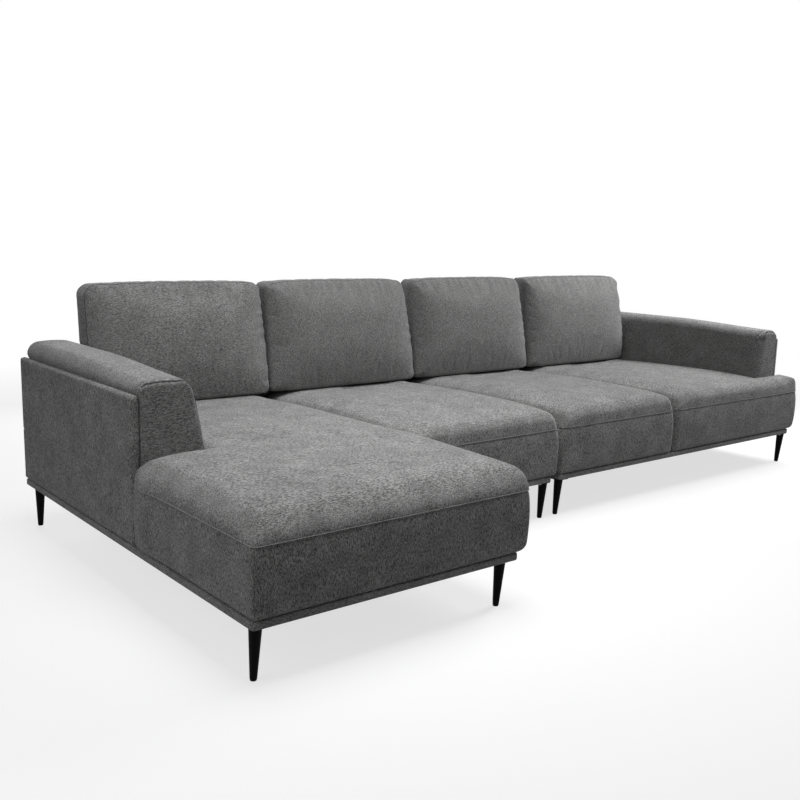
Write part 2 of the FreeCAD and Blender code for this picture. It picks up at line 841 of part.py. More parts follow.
arm_sides = {"left": (at("body_left"), 1), "right": (at("base_right"), -1)}
for side, (outer_x, way) in arm_sides.items():
    front_y_value = at("arm_front")
    rear_y_value = at("back_inner") - at("soft_clearance")
    end_round = at("arm_end_round")
    crown = at("arm_crown")
    profile = (
        (front_y_value, 0.3 * crown),
        (front_y_value + end_round, 0.8 * crown),
        (front_y_value + 4 * end_round, crown),
        (rear_y_value - 4 * end_round, crown),
        (rear_y_value - end_round, 0.8 * crown),
        (rear_y_value, 0.3 * crown),
    )
    pad = Part.makeLoft([arm_section(outer_x, way, y, rise) for y, rise in profile], True, False)
    board = doc.getObject(f"arm_frame_{side}_board").Shape
    pad = pad.cut(board)
    soft_piece(pad, f"arm_pad_{side}")

def pad_top_edge(mid, way):
    return runs_along(way, "x") and near(mid.z, at("back_pad_top"))


# Back pads: the thin upholstered wall that the loose cushions lean on.
for label, low_x, high_x, side in (
    ("back_pad_a", at("left_inner"), at("joint_a_face"), "left"),
    ("back_pad_b", at("joint_b_face"), at("right_inner"), "right"),
):
    wall = slab(
        (low_x, high_x),
        (at("back_pad_front"), at("back_inner")),
        (at("border_top"), at("back_pad_top")),
    )
    upper = [wall.Edges[number - 1] for number in edges_where(wall, pad_top_edge)]
    wall = wall.makeFillet(at("back_pad_radius"), upper)
    outer_x, way = arm_sides[side]
    room = arm_room(outer_x, way, at("soft_clearance"), at("arm_front"), at("body_rear"))
    soft_piece(wall.cut(room), label)


def stations(low_x, high_x):
    """Places across a cushion, each with its share of the drawn-in edge's shape."""
    half = (high_x - low_x) / 2
    middle = (low_x + high_x) / 2
    return [(middle + half * share, abs(share) ** 6) for share in (-1, -0.9, -0.7, -0.3, 0.3, 0.7, 0.9, 1)]


def seat_section(x, front, drop, pull_in):
    """One section of a seat cushion across its depth, front to back."""
    def point(y, z):
        return FreeCAD.Vector(x, y, z)

    low = at("border_top") + at("soft_clearance")
    radius = at("seat_front_round")
    lip = front + at("seat_front_bulge") + pull_in
    rear = at("back_pad_front")
    rest = at("rest_zone_front")
    top = at("seat_top") - drop
    front_top = top - at("seat_front_fall")
    crown_z = (front_top + top) / 2 + at("seat_crown") + at("seat_front_fall") / 2 - drop / 2
    edges = [
        line(point(rear, low), point(lip, low)),
        arc(
            point(lip, low),
            point(lip + radius * 0.16, low + (front_top - low) * 0.64),
            point(lip + radius, front_top),
        ),
        arc(
            point(lip + radius, front_top),
            point((lip + radius + rest) / 2, crown_z),
            point(rest, top),
        ),
        line(point(rest, top), point(rear, top)),
        line(point(rear, top), point(rear, low)),
    ]
    return Part.Wire(edges)


def seat_cushion(label, low_x, high_x, front, core_span_x, core_front, pulled, side):
    """A crowned seat with its foam core, its arm cut-out and its sewn pull."""
    sections = [
        seat_section(x, front, at("seat_edge_drop") * edge, at("seat_drawn_in") * edge)
        for x, edge in stations(low_x, high_x)
    ]
    solid = Part.makeLoft(sections, True, False)
    rest = slab(
        (low_x, high_x),
        (at("rest_zone_front"), at("back_inner")),
        (at("seat_top"), at("seat_top") + at("seat_rise")),
    )
    solid = solid.cut(rest)
    core_top = at("border_top") + at("seat_edge_drop")
    core = slab(core_span_x, (core_front, at("back_pad_front")), (foam_low, core_top))
    solid = solid.fuse(core)
    if side:
        outer_x, way = arm_sides[side]
        room = arm_room(
            outer_x,
            way,
            at("soft_clearance"),
            at("arm_front") - at("soft_clearance"),
            at("body_rear"),
        )
        solid = solid.cut(room)
    if pulled:
        pull_middle = (core_span_x[0] + core_span_x[1]) / 2
        centre = FreeCAD.Vector(
            pull_middle,
            at("pull_line"),
            at("seat_top") + at("pull_radius") - at("pull_depth"),
        )
        solid = solid.cut(Part.makeSphere(at("pull_radius"), centre))
    soft_piece(solid.removeSplitter(), label)


half_gap = at("seat_gap") / 2
ease = at("soft_clearance")
seat_cushion(
    "seat_cushion_chaise",
    at("body_left"),
    at("chaise_right") - half_gap,
    at("chaise_front"),
    (at("left_inner") + ease, at("base_chaise_right") - ease),
    at("chaise_border_inner") + ease,
    False,
    "left",
)
seat_cushion(
    "seat_cushion_second",
    at("chaise_right") + half_gap,
    at("joint_a_face"),
    at("seat_front"),
    (at("chaise_right") + half_gap, at("base_joint_a") - ease),
    at("seat_border_inner") + ease,
    True,
    "",
)
seat_cushion(
    "seat_cushion_third",
    at("joint_b_face"),
    at("third_right") - half_gap,
    at("seat_front"),
    (at("joint_b_inner") + ease, at("third_right") - half_gap),
    at("seat_border_inner") + ease,
    True,
    "",
)
seat_cushion(
    "seat_cushion_end",
    at("third_right") + half_gap,
    at("body_right"),
    at("seat_front"),
    (at("third_right") + half_gap, at("right_inner") - ease),
    at("seat_border_inner") + ease,
    True,
    "right",
)


def cushion_section(x, crown, drop):
    """One leaning section of a back cushion, flat behind and crowned in front."""
    low = at("cushion_bottom")
    lean = at("cushion_lean") / at("cushion_height")

    def point(y, z):
        return FreeCAD.Vector(x, y + lean * (z - low), z)

    rear = at("cushion_rear")
    seam = at("cushion_seam")
    top = at("cushion_top") - drop
    radius = at("cushion_corner_radius")
    back_radius = at("cushion_back_radius")
    edges = [
        line(point(rear, low), point(seam + radius, low)),
        arc(
            point(seam + radius, low),
            point(seam + radius * round_share, low + radius * round_share),
            point(seam, low + radius),
        ),
        arc(point(seam, low + radius), point(seam - crown, (low + top) / 2), point(seam, top - radius)),
        arc(
            point(seam, top - radius),
            point(seam + radius * round_share, top - radius * round_share),
            point(seam + radius, top),
        ),
        arc(
            point(seam + radius, top),
            point((seam + radius + rear - back_radius) / 2, top + at("cushion_top_crown")),
            point(rear - back_radius, top),
        ),
        arc(
            point(rear - back_radius, top),
            point(rear - back_radius * round_share, top - back_radius * round_share),
            point(rear, top - back_radius),
        ),
        line(point(rear, top - back_radius), point(rear, low)),
    ]
    return Part.Wire(edges)


def back_cushion(label, low_x, high_x, side):
    """A loose back cushion with a crowned face and lower outer corners."""
    swell = at("cushion_crown") - at("cushion_edge_crown")
    sections = [
        cushion_section(x, at("cushion_edge_crown") + swell * (1 - edge), at("cushion_side_drop") * edge)
        for x, edge in stations(low_x, high_x)
    ]
    solid = Part.makeLoft(sections, True, False)
    if side:
        outer_x, way = arm_sides[side]
        room = arm_room(outer_x, way, ease, at("arm_front"), at("body_rear"))
        solid = solid.cut(room)
    soft_piece(solid, label)


half_cushion_gap = at("cushion_gap") / 2
arm_shoulder = arm_inner_distance(slant_top_z) + at("cushion_arm_overlap")
back_cushion(
    "back_cushion_chaise",
    at("body_left") + arm_shoulder,
    at("chaise_right") - half_cushion_gap,
    "left",
)
back_cushion(
    "back_cushion_second",
    at("chaise_right") + half_cushion_gap,
    at("joint_a_face") - half_cushion_gap / 2,
    "",
)
back_cushion(
    "back_cushion_third",
    at("joint_b_face") + half_cushion_gap / 2,
    at("third_right") - half_cushion_gap,
    "",
)
back_cushion(
    "back_cushion_end",
    at("third_right") + half_cushion_gap,
    at("base_right") - arm_shoulder,
    "right",
)

doc.recompute()
for item in doc.Objects:
    if "Invalid" in item.State or "Error" in item.State:
        raise RuntimeError(f"{item.Label} did not build: {item.State}")
for node in nodes:
    if node.Shape.isNull() or not node.Shape.isValid():
        raise RuntimeError(f"{node.Label} has no valid shape")

os.makedirs("parts", exist_ok=True)
for node in nodes:
    node.Shape.exportStep(f"parts/{node.Label}.step")
    print(node.Label, len(node.Shape.Solids), round(node.Shape.Volume / 1000, 1))
print(len(nodes), "nodes")
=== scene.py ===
import bpy
import math
import numpy as np
from mathutils import Matrix, Vector


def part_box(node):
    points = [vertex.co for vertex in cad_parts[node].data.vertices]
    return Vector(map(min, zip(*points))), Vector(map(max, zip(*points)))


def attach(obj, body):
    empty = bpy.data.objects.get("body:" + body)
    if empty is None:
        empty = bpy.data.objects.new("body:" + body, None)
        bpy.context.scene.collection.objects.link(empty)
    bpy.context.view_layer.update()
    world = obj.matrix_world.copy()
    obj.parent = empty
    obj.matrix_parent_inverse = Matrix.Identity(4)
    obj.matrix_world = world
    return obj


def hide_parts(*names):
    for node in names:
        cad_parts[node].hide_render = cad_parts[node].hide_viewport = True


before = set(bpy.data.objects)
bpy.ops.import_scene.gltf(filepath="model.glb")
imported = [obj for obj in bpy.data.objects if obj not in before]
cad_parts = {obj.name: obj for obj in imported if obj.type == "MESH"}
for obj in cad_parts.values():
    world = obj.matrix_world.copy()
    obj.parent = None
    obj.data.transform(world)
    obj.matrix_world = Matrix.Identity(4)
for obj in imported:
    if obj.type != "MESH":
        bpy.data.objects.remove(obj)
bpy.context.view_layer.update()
bpy.ops.object.select_all(action="DESELECT")
scene = bpy.context.scene
scene.view_settings.view_transform = "Standard"

# Camera: a normal lens a little over a metre above the floor, off the chaise's front corner,
# looking slightly down along the sofa and tipped a little, as the photograph was taken.
eye = (-2.8166, -2.7132, 1.096)
yaw, pitch, roll = (math.radians(angle) for angle in (39.0, -9.9, 1.4))
ahead = Vector((math.sin(yaw) * math.cos(pitch), math.cos(yaw) * math.cos(pitch), math.sin(pitch)))
level_right = Vector((math.cos(yaw), -math.sin(yaw), 0))
level_up = level_right.cross(ahead)
camera_right = level_right * math.cos(roll) + level_up * math.sin(roll)
camera_up = level_up * math.cos(roll) - level_right * math.sin(roll)
lens = bpy.data.cameras.new("photo_lens")
lens.sensor_width = 36
lens.lens = 43.33
lens.clip_end = 60
camera = bpy.data.objects.new("photo_camera", lens)
scene.collection.objects.link(camera)
turned = Matrix((camera_right, camera_up, -ahead)).transposed().to_4x4()
camera.matrix_world = Matrix.Translation(eye) @ turned
scene.camera = camera


def linear(hex_code):
    """A colour written as sRGB hex, as the linear values that a shader takes."""
    shares = [int(hex_code[start:start + 2], 16) / 255 for start in (1, 3, 5)]
    return [s / 12.92 if s <= 0.04045 else ((s + 0.055) / 1.055) ** 2.4 for s in shares] + [1.0]


def add_node(tree, kind, settings=None, links=None):
    """One shader node, with its settings and the sockets that feed it."""
    node = tree.nodes.new(kind)
    for name, value in (settings or {}).items():
        if isinstance(name, int) or name in node.inputs:
            node.inputs[name].default_value = value
        else:
            setattr(node, name, value)
    for name, source in (links or {}).items():
        tree.links.new(source, node.inputs[name])
    return node


def new_material(name):
    """An empty material with only its output."""
    material = bpy.data.materials.new(name)
    material.use_nodes = True
    tree = material.node_tree
    tree.nodes.clear()
    return material, tree, tree.nodes.new("ShaderNodeOutputMaterial")


# Studio: a smooth pale floor under two softboxes high over the ends and weak ones at the left
# and behind. The one over the chaise has a honeycomb, which keeps its light off the far arm.
# The camera sees floor and air as white, and the floor near the sofa keeps its shadow.
bpy.ops.mesh.primitive_plane_add(size=60, location=(0, 0, 0))
floor = bpy.context.object
floor.name = "studio_floor"
paint, tree, out = new_material("pale_studio_floor")
seen = add_node(tree, "ShaderNodeLightPath")
place = add_node(tree, "ShaderNodeTexCoord")
away = add_node(
    tree,
    "ShaderNodeVectorMath",
    {"operation": "LENGTH"},
    {0: place.outputs["Object"]},
)
share = add_node(
    tree,
    "ShaderNodeMapRange",
    {"From Min": 2.2, "From Max": 5.0, "To Min": 0.7, "To Max": 1.0},
    {"Value": away.outputs["Value"]},
)
card = add_node(tree, "ShaderNodeBsdfDiffuse", {"Color": linear("#9c9c9c")})
card_seen = add_node(tree, "ShaderNodeBsdfDiffuse", {"Color": linear("#f4f4f4")})
glow = add_node(tree, "ShaderNodeEmission", {"Color": linear("#ffffff"), "Strength": 1.0})
white = add_node(
    tree,
    "ShaderNodeMixShader",
    {},
    {0: share.outputs[0], 1: card_seen.outputs[0], 2: glow.outputs[0]},
)
direct = add_node(
    tree,
    "ShaderNodeMath",
    {"operation": "MAXIMUM"},
    {0: seen.outputs["Is Camera Ray"], 1: seen.outputs["Is Glossy Ray"]},
)
mixed = add_node(
    tree,
    "ShaderNodeMixShader",
    {},
    {0: direct.outputs[0], 1: card.outputs[0], 2: white.outputs[0]},
)
tree.links.new(mixed.outputs[0], out.inputs[0])
floor.data.materials.append(paint)

world = bpy.data.worlds.new("studio_air")
scene.world = world
world.use_nodes = True
tree = world.node_tree
tree.nodes.clear()
out = tree.nodes.new("ShaderNodeOutputWorld")
seen = add_node(tree, "ShaderNodeLightPath")
soft = add_node(tree, "ShaderNodeBackground", {"Color": linear("#ffffff"), "Strength": 0.172})
bright = add_node(tree, "ShaderNodeBackground", {"Color": linear("#ffffff"), "Strength": 1.0})
direct = add_node(
    tree,
    "ShaderNodeMath",
    {"operation": "MAXIMUM"},
    {0: seen.outputs["Is Camera Ray"], 1: seen.outputs["Is Transmission Ray"]},
)
mixed = add_node(
    tree,
    "ShaderNodeMixShader",
    {},
    {0: direct.outputs[0], 1: soft.outputs[0], 2: bright.outputs[0]},
)
tree.links.new(mixed.outputs[0], out.inputs[0])

for name, stand, aim, width, depth, power, spread in (
    ("chaise_softbox", (-0.9, -0.3, 3.0), (-0.9, -0.2, 0.0), 2.0, 2.0, 17.5, 70),
    ("end_softbox", (2.3, -0.2, 2.4), (0.9, 0.0, 0.4), 1.6, 1.6, 87, 180),
    ("left_softbox", (-3.4, -0.6, 1.5), (-1.7, 0.0, 0.4), 1.6, 1.4, 10.5, 180),
    ("rear_softbox", (0.0, 3.4, 1.1), (0.0, 0.8, 0.45), 3.2, 1.0, 34, 120),
):
    lamp = bpy.data.lights.new(name, "AREA")
    lamp.shape = "RECTANGLE"
    lamp.size = width
    lamp.size_y = depth
    lamp.energy = power
    lamp.spread = math.radians(spread)
    softbox = bpy.data.objects.new(name, lamp)
    scene.collection.objects.link(softbox)
    softbox.location = stand
    turn = Vector(stand) - Vector(aim)
    softbox.rotation_euler = turn.to_track_quat("Z", "Y").to_euler()

# Legs: tapered steel tubes welded to square plates and powder coated, screwed up into the base.
# Powder coat is a baked plastic skin: deep black, nearly matt, with a faint orange peel whose
# dimples are about 1 mm wide.
coat, tree, out = new_material("black_powder_coat")
place = add_node(tree, "ShaderNodeTexCoord")
peel = add_node(
    tree,
    "ShaderNodeTexNoise",
    {"Scale": 900.0, "Detail": 2.0},
    {"Vector": place.outputs["Object"]},
)
ripple = add_node(
    tree,
    "ShaderNodeBump",
    {"Strength": 0.12, "Distance": 0.0004},
    {"Height": peel.outputs["Fac"]},
)
wear = add_node(
    tree,
    "ShaderNodeMapRange",
    {"To Min": 0.5, "To Max": 0.62},
    {"Value": peel.outputs["Fac"]},
)
skin = add_node(
    tree,
    "ShaderNodeBsdfPrincipled",
    {"Base Color": linear("#090909"), "IOR": 1.5, "Specular IOR Level": 0.05},
    {"Normal": ripple.outputs[0], "Roughness": wear.outputs[0]},
)
tree.links.new(skin.outputs[0], out.inputs[0])


def finish_nodes(material, *starts):
    """Give the modelled parts whose names start so their material."""
    for name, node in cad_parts.items():
        if name.startswith(starts):
            node.data.materials.clear()
            node.data.materials.append(material)


finish_nodes(coat, "leg_", "coupling_")

# Glides: black nylon discs pressed into the feet, which keep the steel off the floor.
# Moulded black nylon is a little greyer than the coat, with worn patches of about 4 mm.
nylon, tree, out = new_material("moulded_nylon")
place = add_node(tree, "ShaderNodeTexCoord")
scuff = add_node(
    tree,
    "ShaderNodeTexNoise",
    {"Scale": 260.0, "Detail": 4.0},
    {"Vector": place.outputs["Object"]},
)
tint = add_node(
    tree,
    "ShaderNodeMix",
    {"data_type": "RGBA", 6: linear("#101010"), 7: linear("#1c1c1c")},
    {0: scuff.outputs["Fac"]},
)
skin = add_node(
    tree,
    "ShaderNodeBsdfPrincipled",
    {"Roughness": 0.6, "IOR": 1.53, "Specular IOR Level": 0.15},
    {"Base Color": tint.outputs[2]},
)
tree.links.new(skin.outputs[0], out.inputs[0])
finish_nodes(nylon, "leg_glides")

# Screws: zinc-plated steel pan heads under the plates and couplings.
# Zinc plate is a soft grey metal with faint cloudy patches of about 5 mm.
zinc, tree, out = new_material("zinc_plated_steel")
place = add_node(tree, "ShaderNodeTexCoord")
cloud = add_node(
    tree,
    "ShaderNodeTexNoise",
    {"Scale": 180.0, "Detail": 3.0},
    {"Vector": place.outputs["Object"]},
)
dull = add_node(
    tree,
    "ShaderNodeMapRange",
    {"To Min": 0.28, "To Max": 0.42},
    {"Value": cloud.outputs["Fac"]},
)
skin = add_node(
    tree,
    "ShaderNodeBsdfPrincipled",
    {"Base Color": linear("#c3c5c8"), "Metallic": 1.0},
    {"Roughness": dull.outputs[0]},
)
tree.links.new(skin.outputs[0], out.inputs[0])
finish_nodes(zinc, "base_screws")

# Frames: sawn softwood boards, glued and stapled, hidden under the cloth.
# Raw pine shows growth rings about 8 mm apart along each board and takes no gloss.
pine, tree, out = new_material("sawn_pine")
place = add_node(tree, "ShaderNodeTexCoord")
along = add_node(
    tree,
    "ShaderNodeMapping",
    {"Scale": (3.0, 3.0, 60.0)},
    {"Vector": place.outputs["Object"]},
)
grain = add_node(
    tree,
    "ShaderNodeTexNoise",
    {"Scale": 2.2, "Detail": 6.0, "Distortion": 0.6},
    {"Vector": along.outputs[0]},
)
rings = add_node(
    tree,
    "ShaderNodeMix",
    {"data_type": "RGBA", 6: linear("#b98f5e"), 7: linear("#dcbb8b")},
    {0: grain.outputs["Fac"]},
)
skin = add_node(
    tree,
    "ShaderNodeBsdfPrincipled",
    {"Roughness": 0.75},
    {"Base Color": rings.outputs[2]},
)
tree.links.new(skin.outputs[0], out.inputs[0])
finish_nodes(pine, "seat_frame", "arm_frame")

# Webbing and dust covers: woven elastic straps over the frame, and black lining cloth below.
# Both are thin synthetic weaves, matt, with a fine regular thread drawn 2 mm and 1.2 mm wide.
for name, dark, pale, thread_and_seam_shade, starts in (
    ("elastic_webbing", "#4d443a", "#6b6052", 500.0, ("seat_webbing",)),
    ("black_lining_cloth", "#0c0c0c", "#1d1d1d", 830.0, ("dust_cover",)),
):
    lining, tree, out = new_material(name)
    place = add_node(tree, "ShaderNodeTexCoord")
    weave = add_node(
        tree,
        "ShaderNodeTexChecker",
        {"Scale": thread_and_seam_shade},
        {"Vector": place.outputs["Object"]},
    )
    tone = add_node(
        tree,
        "ShaderNodeMix",
        {"data_type": "RGBA", 6: linear(dark), 7: linear(pale)},
        {0: weave.outputs["Fac"]},
    )
    skin = add_node(
        tree,
        "ShaderNodeBsdfPrincipled",
        {"Roughness": 0.9},
        {"Base Color": tone.outputs[2]},
    )
    tree.links.new(skin.outputs[0], out.inputs[0])
    finish_nodes(lining, *starts)

# Cloth: a heavy flat weave of charcoal and pale grey slub yarn, matt, with a short soft nap. It is
# cut with its thicker threads level or upright, and smoother where a filling stretches it. A paler
# copy on the seam welts is a painted highlight, for the light caught by the raised seam edge.
# Yarns of about 1.2 mm are drawn 2 mm wide, so that they show.
cloths = {}
# Slubs to the metre along x, y and z, on faces that look sideways and up.
side_stretch, top_stretch = (450, 600, 130), (110, 360, 450)
speckle_gain, speckle_offset = 1.6, -0.3
for cut, front_stretch, contrasts, blotch, dark, pale in (
    ("level", (120, 450, 620), (2.6, 2.3, 3.6), 0.10, "#3c3c3c", "#9d9d9c"),
    ("upright", (600, 450, 130), (4.4, 3.2, 3.2), 0.15, "#3c3c3c", "#9d9d9c"),
    ("stretched", (600, 450, 120), (2.0, 1.9, 1.6), 0.06, "#404040", "#9a9a99"),
    # This copy is paler all over: a painted highlight for the light caught by the raised welts it
    # dresses.
    ("welt_painted_highlight", (500, 450, 500), (1.4, 1.4, 1.4), 0.05, "#686868", "#aeaeac"),
):
    cloth, tree, out = new_material("heathered_slub_weave_" + cut)
    place = add_node(tree, "ShaderNodeTexCoord")
    facing = add_node(
        tree,
        "ShaderNodeVectorMath",
        {"operation": "MULTIPLY"},
        {0: place.outputs["Normal"], 1: place.outputs["Normal"]},
    )
    shares = add_node(tree, "ShaderNodeSeparateXYZ", {}, {0: facing.outputs[0]})
    speckle = add_node(
        tree,
        "ShaderNodeTexNoise",
        {"Scale": 500.0, "Detail": 1.0},
        {"Vector": place.outputs["Object"]},
    )
    threads = add_node(
        tree,
        "ShaderNodeMath",
        {"operation": "MULTIPLY_ADD", 1: speckle_gain, 2: speckle_offset},
        {0: speckle.outputs["Fac"]},
    )
    stretches = (side_stretch, front_stretch, top_stretch)
    for axis, stretch, contrast in zip("XYZ", stretches, contrasts):
        along = add_node(
            tree,
            "ShaderNodeMapping",
            {"Scale": stretch},
            {"Vector": place.outputs["Object"]},
        )
        slub = add_node(
            tree,
            "ShaderNodeTexNoise",
            {"Scale": 1.0, "Detail": 2.0, "Roughness": 0.6},
            {"Vector": along.outputs[0]},
        )
        uneven = add_node(
            tree,
            "ShaderNodeMath",
            {"operation": "MULTIPLY_ADD", 1: contrast, 2: -0.5 * contrast},
            {0: slub.outputs["Fac"]},
        )
        threads = add_node(
            tree,
            "ShaderNodeMath",
            {"operation": "MULTIPLY_ADD"},
            {0: uneven.outputs[0], 1: shares.outputs[axis], 2: threads.outputs[0]},
        )
    heather = add_node(
        tree,
        "ShaderNodeMapRange",
        {"From Min": 0.1, "From Max": 0.9},
        {"Value": threads.outputs[0]},
    )
    patches = add_node(
        tree,
        "ShaderNodeTexNoise",
        {"Scale": 13.0, "Detail": 4.0, "Roughness": 0.6},
        {"Vector": place.outputs["Object"]},
    )
    nap = add_node(
        tree,
        "ShaderNodeMapRange",
        {"From Min": 0.36, "From Max": 0.64, "To Min": 1 - blotch, "To Max": 1 + blotch},
        {"Value": patches.outputs["Fac"]},
    )
    yarn = add_node(
        tree,
        "ShaderNodeMix",
        {"data_type": "RGBA", 6: linear(dark), 7: linear(pale)},
        {0: heather.outputs[0]},
    )
    worn = add_node(
        tree,
        "ShaderNodeHueSaturation",
        {},
        {"Color": yarn.outputs[2], "Value": nap.outputs[0]},
    )
    fuzz = add_node(
        tree,
        "ShaderNodeBump",
        {"Strength": 0.3, "Distance": 0.0006},
        {"Height": threads.outputs[0]},
    )
    skin = add_node(
        tree,
        "ShaderNodeBsdfPrincipled",
        {
            "Roughness": 0.92,
            "Specular IOR Level": 0.18,
            "Sheen Weight": 0.25,
            "Sheen Roughness": 0.45,
            "Sheen Tint": linear("#dcdce0"),
        },
        {"Base Color": worn.outputs[0], "Normal": fuzz.outputs[0]},
    )
    tree.links.new(skin.outputs[0], out.inputs[0])
    cloths[cut] = cloth

# Seams: twisted polyester thread, pulled tight into the cloth. It is near-black, darker than any
# yarn, as painted shade of the groove it lies in, so that it reads as a dark line. Its twist gives
# it a faint light and dark beat of about 1.4 mm along its length.
thread_and_seam_shade, tree, out = new_material("dark_thread_painted_seam_shade")
place = add_node(tree, "ShaderNodeTexCoord")
twist = add_node(
    tree,
    "ShaderNodeTexNoise",
    {"Scale": 700.0, "Detail": 1.0},
    {"Vector": place.outputs["Object"]},
)
# Near-black, darker than the cloth's darkest yarn: painted shade of the groove that each seam line
# lies in.
tone = add_node(
    tree,
    "ShaderNodeMix",
    {"data_type": "RGBA", 6: linear("#101010"), 7: linear("#2c2c2c")},
    {0: twist.outputs["Fac"]},
)
skin = add_node(
    tree,
    "ShaderNodeBsdfPrincipled",
    {"Roughness": 0.6},
    {"Base Color": tone.outputs[2]},
)
tree.links.new(skin.outputs[0], out.inputs[0])


# Base bands: flat boards round the base of each unit, wrapped in the sofa's own cloth and
# stapled below, with soft upright corners and a thin rounded edge.
def place_of(node):
    """A modelled part's low and high corners, as plain lists."""
    low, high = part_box(node)
    return list(low), list(high)


def add_box(name, low, high):
    """A box primitive between two corners, its place in its mesh."""
    bpy.ops.object.select_all(action="DESELECT")
    middle = [(l + h) / 2 for l, h in zip(low, high)]
    extent = [h - l for l, h in zip(low, high)]
    bpy.ops.mesh.primitive_cube_add(size=1, location=middle, scale=extent)
    bpy.ops.object.transform_apply(location=True, rotation=True, scale=True)
    box = bpy.context.object
    box.name = name
    return box


def select_edges(piece, chosen):
    """In edit mode, select the edges whose two ends satisfy a rule."""
    bpy.ops.mesh.select_mode(type="EDGE")
    bpy.ops.mesh.select_all(action="DESELECT")
    bpy.ops.object.mode_set(mode="OBJECT")
    for edge in piece.data.edges:
        ends = [piece.data.vertices[index].co for index in edge.vertices]
        edge.select = chosen(*ends)
    bpy.ops.object.mode_set(mode="EDIT")


def select_faces(piece, chosen):
    """In edit mode, select the faces that satisfy a rule."""
    bpy.ops.mesh.select_mode(type="FACE")
    bpy.ops.mesh.select_all(action="DESELECT")
    bpy.ops.object.mode_set(mode="OBJECT")
    for face in piece.data.polygons:
        face.select = chosen(face)
    bpy.ops.object.mode_set(mode="EDIT")


rail_low, rail_high = place_of("base_rail_second_front")
band_proud, band_lap = 0.0008, 0.0006
band_width = 0.096
band_corner, band_edge = 0.012, 0.005
at_corner, at_rim = 0.0002, 0.004
band_low_z, band_high_z = rail_low[2], rail_high[2] + band_lap
base_left = place_of("base_rail_left")[0][0] - band_proud
base_chaise_front = place_of("base_rail_chaise_front")[0][1] - band_proud
base_chaise_right = place_of("base_rail_chaise_front")[1][0] + band_proud
base_front = rail_low[1] - band_proud
base_rear = place_of("base_rail_rear_a")[1][1] + band_proud
base_joint_a = place_of("base_rail_joint_a")[1][0] + band_proud
base_joint_b = place_of("base_rail_joint_b")[0][0] - band_proud
base_right = place_of("base_rail_right")[1][0] + band_proud

for name, body, low, high, step_x, step_y, nodes in (
    (
        "base_band_a",
        "chaise_unit",
        (base_left, base_chaise_front, band_low_z),
        (base_joint_a, base_rear, band_high_z),
        base_chaise_right,
        base_front,
        (
            "base_rail_chaise_front",
            "base_rail_left",
            "base_rail_second_front",
            "base_rail_joint_a",
            "base_rail_rear_a",
        ),
    ),
    (
        "base_band_b",
        "end_unit",
        (base_joint_b, base_front, band_low_z),
        (base_right, base_rear, band_high_z),
        base_right,
        base_front,
        ("base_rail_front_b", "base_rail_joint_b", "base_rail_right", "base_rail_rear_b"),
    ),
):
    band = add_box(name, low, (step_x, high[1], high[2]))
    bpy.ops.object.mode_set(mode="EDIT")
    if step_x < high[0]:
        bpy.ops.mesh.select_all(action="SELECT")
        bpy.ops.mesh.bisect(plane_co=(0, step_y, 0), plane_no=(0, 1, 0))
        select_faces(band, lambda face: face.normal.x > 0.9 and face.center.y > step_y)
        bpy.ops.mesh.extrude_region_move(TRANSFORM_OT_translate={"value": (high[0] - step_x, 0, 0)})
        bpy.ops.mesh.select_all(action="SELECT")
        bpy.ops.mesh.dissolve_limited(angle_limit=0.01)
    select_faces(band, lambda face: abs(face.normal.z) > 0.9)
    bpy.ops.mesh.inset(thickness=band_width, use_boundary=True)
    bpy.ops.mesh.bridge_edge_loops()

    def outer_corner(one, other):
        if abs(one.z - other.z) < 0.01:
            return False
        near_x = min(abs(one.x - x) for x in (low[0], step_x, high[0])) < at_corner
        return near_x and min(abs(one.y - y) for y in (low[1], step_y, high[1])) < at_corner

    def rim(one, other):
        if abs(one.z - other.z) > 0.001:
            return False
        for end in (one, other):
            gaps = [end.x - low[0], high[0] - end.x, end.y - low[1], high[1] - end.y]
            if end.y < step_y + 0.001:
                gaps.append(abs(end.x - step_x))
            if end.x > step_x - 0.001:
                gaps.append(abs(end.y - step_y))
            if min(gaps) > at_rim:
                return False
        return True

    select_edges(band, outer_corner)
    bpy.ops.mesh.bevel(offset=band_corner, segments=4, affect="EDGES")
    select_edges(band, rim)
    bpy.ops.mesh.bevel(offset=band_edge, segments=3, affect="EDGES")
    bpy.ops.mesh.select_all(action="SELECT")
    bpy.ops.mesh.normals_make_consistent(inside=False)
    bpy.ops.object.mode_set(mode="OBJECT")
    bpy.ops.object.shade_smooth_by_angle(angle=math.radians(40))
    band.data.materials.append(cloths["level"])
    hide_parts(*nodes)
    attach(band, body)
finish_nodes(cloths["level"], "base_rail")


# Seats: foam on webbing under one tailored cover each, a soft top sewn to upright borders.
# Each has a crown, drawn-down edges, a rounded lower corner and a pull sewn in at the back.
def points_of(piece):
    """A piece's points as rows of x, y and z."""
    points = np.empty(len(piece.data.vertices) * 3)
    piece.data.vertices.foreach_get("co", points)
    return points.reshape(-1, 3)


def push(block, chosen, way):
    """Move the corners of a block that satisfy a rule."""
    bpy.ops.object.mode_set(mode="EDIT")
    bpy.ops.mesh.select_mode(type="VERT")
    bpy.ops.mesh.select_all(action="DESELECT")
    bpy.ops.object.mode_set(mode="OBJECT")
    for corner in block.data.vertices:
        corner.select = chosen(corner.co)
    bpy.ops.object.mode_set(mode="EDIT")
    bpy.ops.transform.translate(value=way)
    bpy.ops.object.mode_set(mode="OBJECT")


